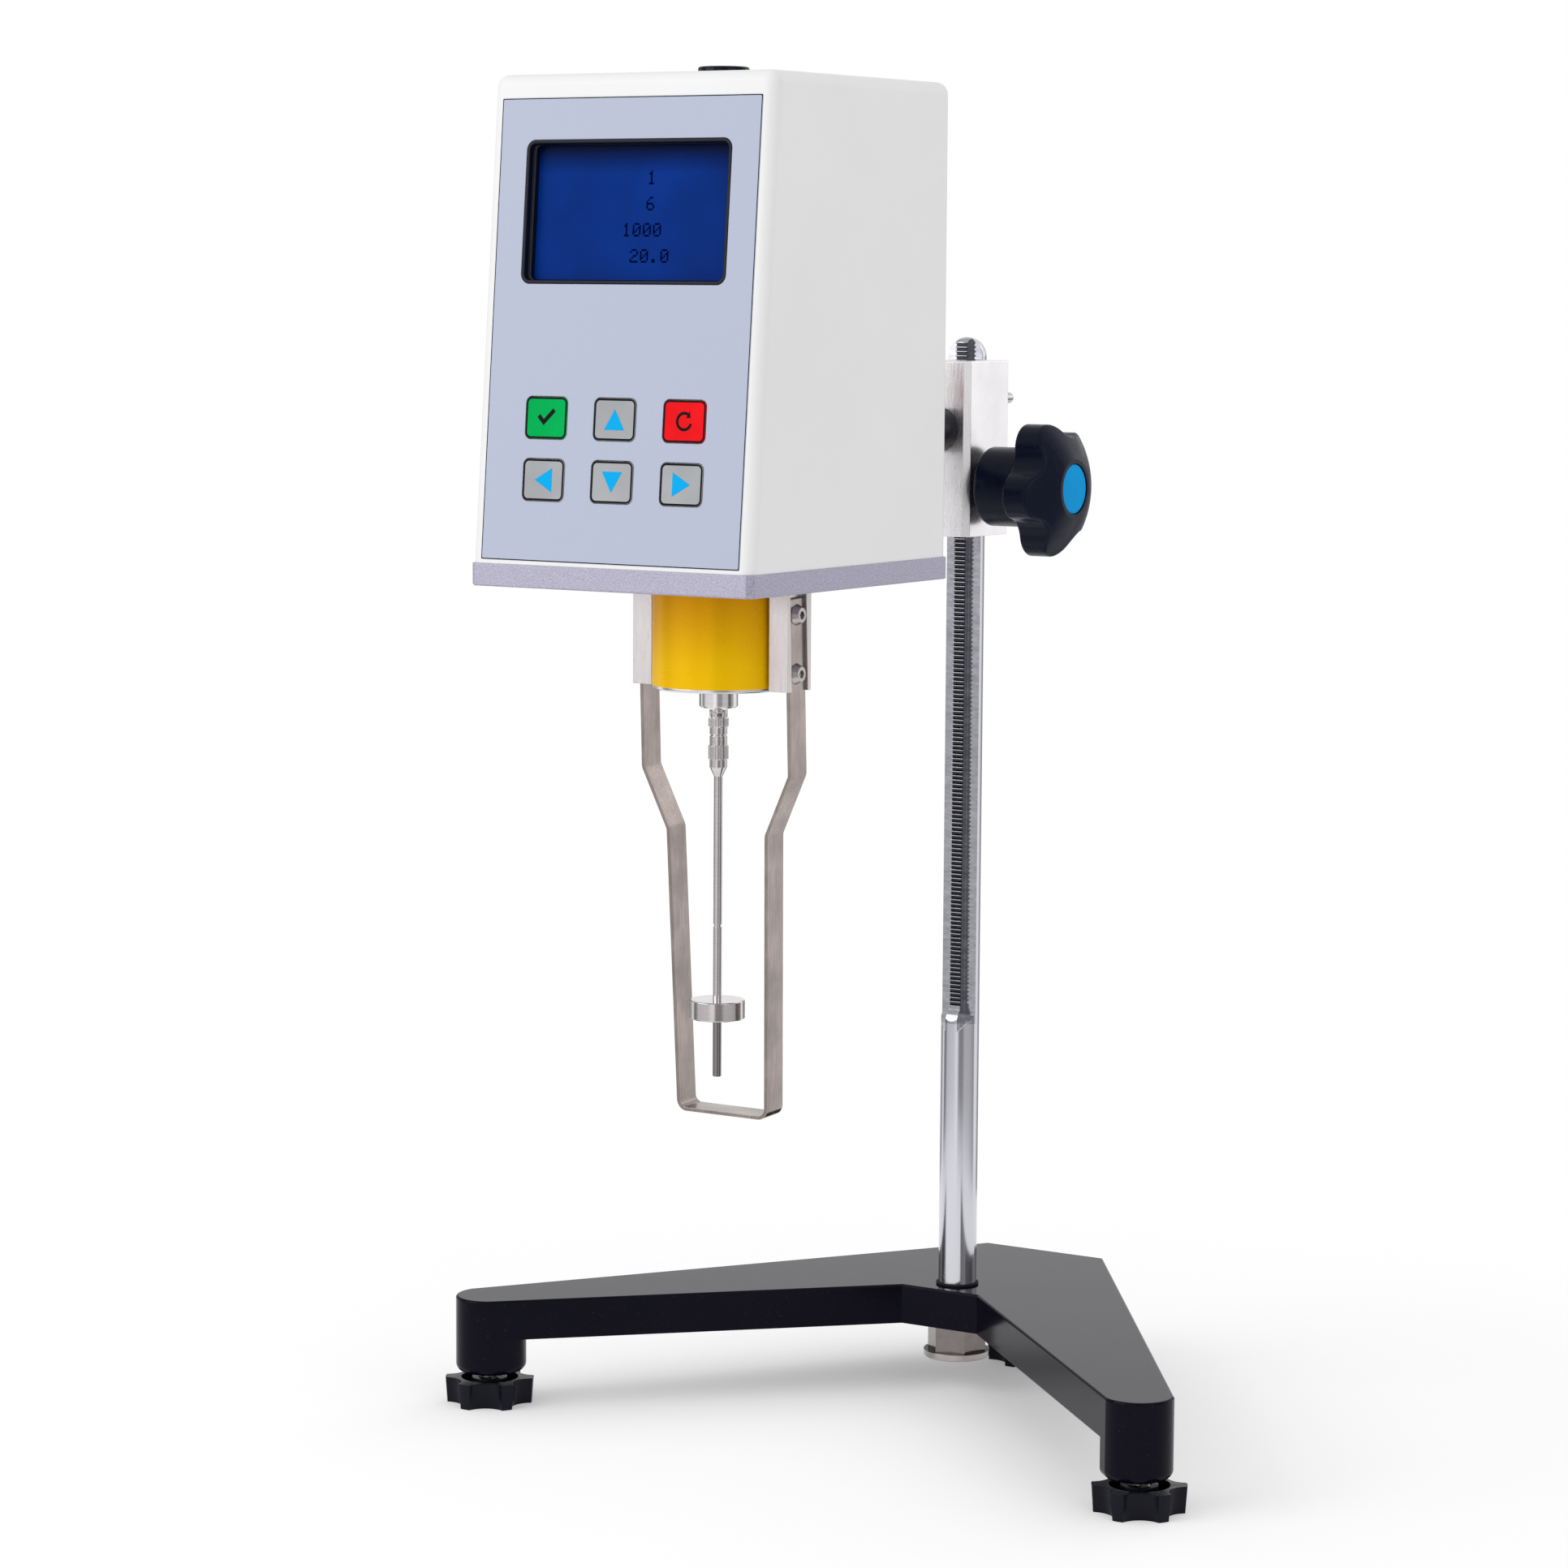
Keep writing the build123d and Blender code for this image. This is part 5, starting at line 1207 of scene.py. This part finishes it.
    def _gap_shadow(self) -> None:
        """Paints the shadow of the gap round the panel as a thin dark line."""
        low, high, line = self.panel_rise, self.panel_rise + self.panel_tall, self.gap_shadow_width
        half = self.panel_wide / 2
        strips = (
            (-half, low, half, low + line),
            (-half, high - line, half, high),
            (-half, low + line, -half + line, high - line),
            (half - line, low + line, half, high - line),
        )
        outlines = [((u0, v0), (u1, v0), (u1, v1), (u0, v1)) for u0, v0, u1, v1 in strips]
        # painted shadow: dark strips along the panel's four edges, where the gap is
        self._print("panel_border", outlines, self.finishes.dark_ink, "head", "bezel_black", self.panel_proud)

    @staticmethod
    def _rounded(middle: Spot, half_u: float, half_v: float, corner: float) -> list[Spot]:
        """A rounded rectangle.

        Args:
            middle: Where its middle is.
            half_u: Half its width.
            half_v: Half its height.
            corner: Its corner radius.

        Returns:
            Its corners in order.
        """
        outline = []
        for number, (u, v) in enumerate(((1, 1), (-1, 1), (-1, -1), (1, -1))):
            for step in range(7):
                angle = math.radians(90.0 * number + 15.0 * step)
                x = u * (half_u - corner) + corner * math.cos(angle)
                y = v * (half_v - corner) + corner * math.sin(angle)
                outline.append((middle[0] + x, middle[1] + y))
        return outline

    def _key_rim(self, name: str) -> None:
        """Prints the black line round a key.

        Args:
            name: The key's name.
        """
        middle = self._key_place(name)
        half_u, half_v = self.key_wide / 2 - self.rim_inset, self.key_tall / 2 - self.rim_inset
        outer = self._rounded(middle, half_u, half_v, self.key_corner)
        inner = self._rounded(middle, half_u - self.rim, half_v - self.rim, self.key_corner - self.rim)
        low, high = self.key_proud, self.key_proud + self.print_thick
        shape = self._hoop(((outer, low), (outer, high), (inner, high), (inner, low)))
        MeshShop.piece(f"rim_{name}", shape, self.finishes.dark_ink, f"key_{name}", "bezel_black")

    def _arrow(self, name: str, arrow: Arrow) -> None:
        """Prints the triangle of a cursor key.

        Args:
            name: The key's name.
            arrow: The way it points.
        """
        u, v = self._key_place(name)
        cos, sin = math.cos(math.radians(arrow.value)), math.sin(math.radians(arrow.value))
        reach = self.arrow_reach
        tips = [(a * self.arrow_half, b * self.arrow_half) for a, b in ((reach, 0.0), (-reach, 1.0), (-reach, -1.0))]
        outline = [(u + x * cos - y * sin, v + x * sin + y * cos) for x, y in tips]
        self._print(f"arrow_{name}", [outline], self.finishes.arrow_ink, f"key_{name}", "key_grey", self.key_proud)

    def _tick(self) -> None:
        """Prints a tick on the green key."""
        u, v = self._key_place("ok")
        outline = [(u + x * MM, v + y * MM) for x, y in self.TICK]
        self._print("tick_ok", [outline], self.finishes.dark_ink, "key_ok", "key_green", self.key_proud)

    def _return_mark(self) -> None:
        """Prints an open ring with an arrow head on the red key."""
        u, v = self._key_place("reset")
        outer, inner, start = self.ring_outer, self.ring_inner, self.ring_start
        turns = [start + self.ring_sweep * step / self.ring_steps for step in range(self.ring_steps + 1)]
        shapes = [((outer, a), (outer, b), (inner, b), (inner, a)) for a, b in zip(turns, turns[1:])]
        tip = (self.barb_tip[0], start - self.barb_tip[1])
        shapes.append(((self.barb_outer, start), (self.barb_inner, start), tip))
        outlines = [[(u + r * math.cos(a), v + r * math.sin(a)) for r, a in shape] for shape in shapes]
        self._print("ring_reset", outlines, self.finishes.dark_ink, "key_reset", "key_red", self.key_proud)

    def _bezel(self) -> None:
        """Frames the display: a thin rounded rim, then a stepped wall down to the glass."""
        rings = []
        for left, right, ends, out in self.BEZEL:
            half_u = self.bezel_wide / 2 - (left + right) / 2 * MM
            half_v = self.bezel_tall / 2 - ends * MM
            corner = max(self.bezel_least_corner, self.bezel_corner - right * MM)
            middle = ((left - right) / 2 * MM, self.screen_rise)
            rings.append((self._rounded(middle, half_u, half_v, corner), out * MM))
        frame = MeshShop.piece(
            "display_frame", self._hoop(rings), self.finishes.bezel_black, "head", "bezel_black"
        )
        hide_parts("display_bezel")

    def _digits(self) -> None:
        """Sets plain numbers on the display, dot by dot."""
        squares = []
        side = self.dot - self.dot_gap * self.dot
        for row, (start, text) in enumerate(self.rows):
            top = self.screen_rise - self.text_drop + (1.5 - row) * self.row_pitch + 3.5 * self.dot
            for place, letter in enumerate(text):
                left = (start + self.letter_pitch * place) * MM
                for line, bits in enumerate(self.GLYPHS[letter]):
                    for column in (n for n, bit in enumerate(bits) if bit == "1"):
                        u, v = left + column * self.dot, top - line * self.dot
                        squares.append(((u, v), (u + side, v), (u + side, v - side), (u, v - side)))
        self._print("display_digits", squares, self.finishes.dot_ink, "head", "lcd_blue", -self.screen_depth)

    def dress(self) -> None:
        """Finishes the panel, the display and the keys."""
        self.coat(self.finishes.panel_film, "front_panel")
        self.coat(self.finishes.bezel_black, "display_bezel")
        self.coat(self.finishes.lcd_blue, "lcd_module")
        self.coat(self.finishes.board_green, "main_board")
        self.coat(self.finishes.key_green, "key_ok")
        self.coat(self.finishes.key_red, "key_reset")
        self.coat(self.finishes.key_grey, "key_up", "key_left", "key_down", "key_right")


# ---------------------------------------------------------------- inside and below


@dataclass
class TorqueDrive(SubAssembly):
    """The motor, its gears and the sprung pivot that measures the twist."""

    def dress(self) -> None:
        """Finishes the mechanism."""
        self.coat(self.finishes.bar_aluminium, "bridge_posts", "motor_bridge")
        self.coat(self.finishes.brass, "drive_bearing", "motor_pinion")
        self.coat(self.finishes.black_steel, "drive_motor", "upper_disc", "lower_disc")
        self.coat(self.finishes.gear_plastic, "drive_gear")
        self.coat(self.finishes.turned_steel, "drive_tube", "pivot_shaft")
        self.coat(self.finishes.steel, "torsion_spring")
        self.coat(self.finishes.black_plastic, "photo_sensors")


@dataclass
class SpindleGroup(SubAssembly):
    """The spindle housing, the guard and the rotor."""

    def dress(self) -> None:
        """Finishes what hangs below the plate."""
        self.coat(self.finishes.turned_aluminium, "spindle_housing", "pivot_bearing")
        self.coat(self.finishes.label_yellow, "label_band")
        self.coat(self.finishes.bar_aluminium, "guard_bars")
        self.coat(self.finishes.steel, "guard_frame")
        self.coat(self.finishes.zinc_steel, "guard_screws")
        self.coat(self.finishes.turned_steel, "gimbal_cross", "spindle")


# ---------------------------------------------------------------- studio


@dataclass
class Studio:
    """The bench sheet, the lamps, the sky and the camera."""

    azimuth: float = 32.034
    elevation: float = 6.491
    roll: float = 0.363
    distance: float = 1.6728
    lens: float = 102.57
    sensor: float = 36.0
    target: Point = (-0.07697, 0.0791, 0.22073)
    lit_point: Point = (0.0, 0.0, 0.22)
    sheet_rings: tuple[float, ...] = (0.22, 0.33, 0.44)
    sheet_sides: int = 96
    sheet_grey: float = 0.80
    sheet_lift: float = 0.27
    fade_from: float = 0.27
    fade_to: float = 0.42
    sky_level: float = 0.72
    ceiling: float = 0.72
    ceiling_from: float = 0.35
    ceiling_to: float = 0.9
    room: tuple[Spot, ...] = (
        (-180.0, 1.0), (-171.0, 1.0), (-162.0, 0.42), (-134.0, 0.42), (-124.0, 1.0), (-118.0, 1.0),
        (-108.0, 0.26), (-98.0, 0.26), (-84.0, 0.68), (-36.0, 0.76), (-28.0, 0.95), (-14.0, 1.0),
        (-5.0, 0.32), (16.0, 0.28), (30.0, 0.58), (62.0, 0.55), (96.0, 0.36), (103.0, 1.0),
        (128.0, 1.0), (136.0, 0.36), (162.0, 0.36), (171.0, 1.0), (180.0, 1.0),
    )  # fmt: skip

    def build(self) -> None:
        """Sets up the whole studio."""
        self._sheet()
        self._sky()
        self._lamp("key_lamp", (-1.1, -1.7, 1.05), 1.6, 17.5)
        self._lamp("fill_lamp", (1.9, -0.9, 1.1), 1.4, 5.0)
        self._lamp("rim_lamp", (0.3, 1.8, 1.2), 1.6, 4.0)
        self._camera()
        bpy.context.scene.view_settings.view_transform = "Standard"

    def _sheet(self) -> None:
        """Lays the pale bench sheet, which fades to plain white away from the instrument."""
        count = self.sheet_sides
        points = [Vector((0.0, 0.0, 0.0))]
        points += [polar(r, 2 * math.pi * s / count) for r in self.sheet_rings for s in range(count)]
        faces = [[0, 1 + s, 1 + (s + 1) % count] for s in range(count)]
        for low in range(1, 1 + count * (len(self.sheet_rings) - 1), count):
            high = low + count
            faces += [[low + s, high + s, high + (s + 1) % count, low + (s + 1) % count] for s in range(count)]
        mesh = bpy.data.meshes.new("bench_sheet")
        mesh.from_pydata([tuple(p) for p in points], [], faces)
        sheet = bpy.data.objects.new("bench_sheet", mesh)
        bpy.context.scene.collection.objects.link(sheet)
        bench = NodeBench("bench_sheet")
        grey = self.sheet_grey
        bench.lay(Roughness=0.9, Base_Color=(grey, grey, grey, 1.0), Specular_IOR_Level=0.0)
        fade = bench.spread(bench.measure("LENGTH", bench.coords()), 0.0, 1.0, self.fade_from, self.fade_to)
        seen = bench.background_rays()
        lift = bench.node("Emission", {"Strength": bench.figure("MULTIPLY", seen, self.sheet_lift)})
        paper = bench.node("AddShader", {0: bench.shader.outputs[0], 1: lift.outputs[0]})
        white = bench.node("Emission")
        feeds = {0: bench.product(fade, seen), 1: paper.outputs[0], 2: white.outputs[0]}
        mixed = bench.node("MixShader", feeds)
        bench.plug(mixed.outputs[0], bench.tree.nodes["Material Output"].inputs["Surface"])
        mesh.materials.append(bench.material)
        LOG.info("laid the bench sheet")

    def _sky(self) -> None:
        """Makes the sky: a white backdrop, and a softer room on the near side for metal to mirror."""
        world = bpy.data.worlds.new("studio_sky")
        bpy.context.scene.world = world
        bench = NodeBench("studio_sky", world)
        view = bench.node("TexCoord").outputs["Generated"]
        turn = math.radians(self.azimuth)
        near, side = (math.sin(turn), -math.cos(turn), 0.0), (math.cos(turn), math.sin(turn), 0.0)
        angle = bench.figure("ARCTAN2", *(bench.measure("DOT_PRODUCT", view, toward) for toward in (side, near)))
        room = bench.node("ValToRGB", {"Fac": bench.spread(angle, 0.0, 1.0, -math.pi, math.pi)})
        stops = room.color_ramp.elements
        stops.remove(stops[0])
        for number, (degrees, level) in enumerate(self.room):
            place = 0.5 + degrees / 360.0
            stop = stops.new(place) if number else stops[0]
            stop.position = place
            stop.color = (level, level, level * 1.01, 1.0)
        above = bench.spread(bench.along("Z", view), 0.0, 1.0, self.ceiling_from, self.ceiling_to)
        mirrored = bench.blend(above, room.outputs["Color"], (self.ceiling, self.ceiling, self.ceiling))
        paths = bench.node("LightPath").outputs
        seen = bench.figure("MAXIMUM", paths["Is Camera Ray"], paths["Is Transmission Ray"])
        lit = bench.blend(paths["Is Glossy Ray"], (self.sky_level, self.sky_level, self.sky_level), mirrored)
        back = bench.tree.nodes["Background"]
        bench.plug(bench.blend(seen, lit, (1.0, 1.0, 1.0)), back.inputs["Color"])
        bench.plug(1.0, back.inputs["Strength"])

    def _lamp(self, name: str, place: Point, size: float, power: float) -> None:
        """Hangs one soft box that looks at the instrument.

        Args:
            name: The lamp's name.
            place: Where it hangs.
            size: The side of its square face.
            power: Its power in watts.
        """
        light = bpy.data.lights.new(name, "AREA")
        light.shape = "SQUARE"
        light.size = size
        light.energy = power
        lamp = bpy.data.objects.new(name, light)
        lamp.location = place
        aim = Vector(self.lit_point) - Vector(place)
        lamp.rotation_euler = aim.to_track_quat("-Z", "Y").to_euler()
        bpy.context.scene.collection.objects.link(lamp)

    def _camera(self) -> None:
        """Sets the camera up at the working view."""
        turn, tilt, roll = (math.radians(a) for a in (self.azimuth, self.elevation, self.roll))
        back = Vector((math.sin(turn) * math.cos(tilt), -math.cos(turn) * math.cos(tilt), math.sin(tilt)))
        right = Vector((math.cos(turn), math.sin(turn), 0.0))
        up = back.cross(right)
        across = right * math.cos(roll) + up * math.sin(roll)
        above = up * math.cos(roll) - right * math.sin(roll)
        data = bpy.data.cameras.new("view")
        data.lens = self.lens
        data.sensor_width = self.sensor
        data.clip_start = 0.05
        data.clip_end = 50.0
        camera = bpy.data.objects.new("view", data)
        place = Vector(self.target) + back * self.distance
        camera.matrix_world = Matrix.Translation(place) @ Matrix((across, above, back)).transposed().to_4x4()
        bpy.context.scene.collection.objects.link(camera)
        bpy.context.scene.camera = camera


def main() -> None:
    """Loads the frame, builds and dresses each sub-assembly, and sets up the studio."""
    logging.basicConfig(level=logging.INFO, format="%(name)s: %(message)s")
    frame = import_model()
    finishes = Finishes()
    for maker in (Stand, ClampAndLift, HeadShell, ControlPanel, TorqueDrive, SpindleGroup):
        group = maker(finishes, frame["nodes"])
        group.build()
        group.dress()
        LOG.info("finished the %s", maker.__name__)
    Studio().build()


if __name__ == "__main__":
    main()
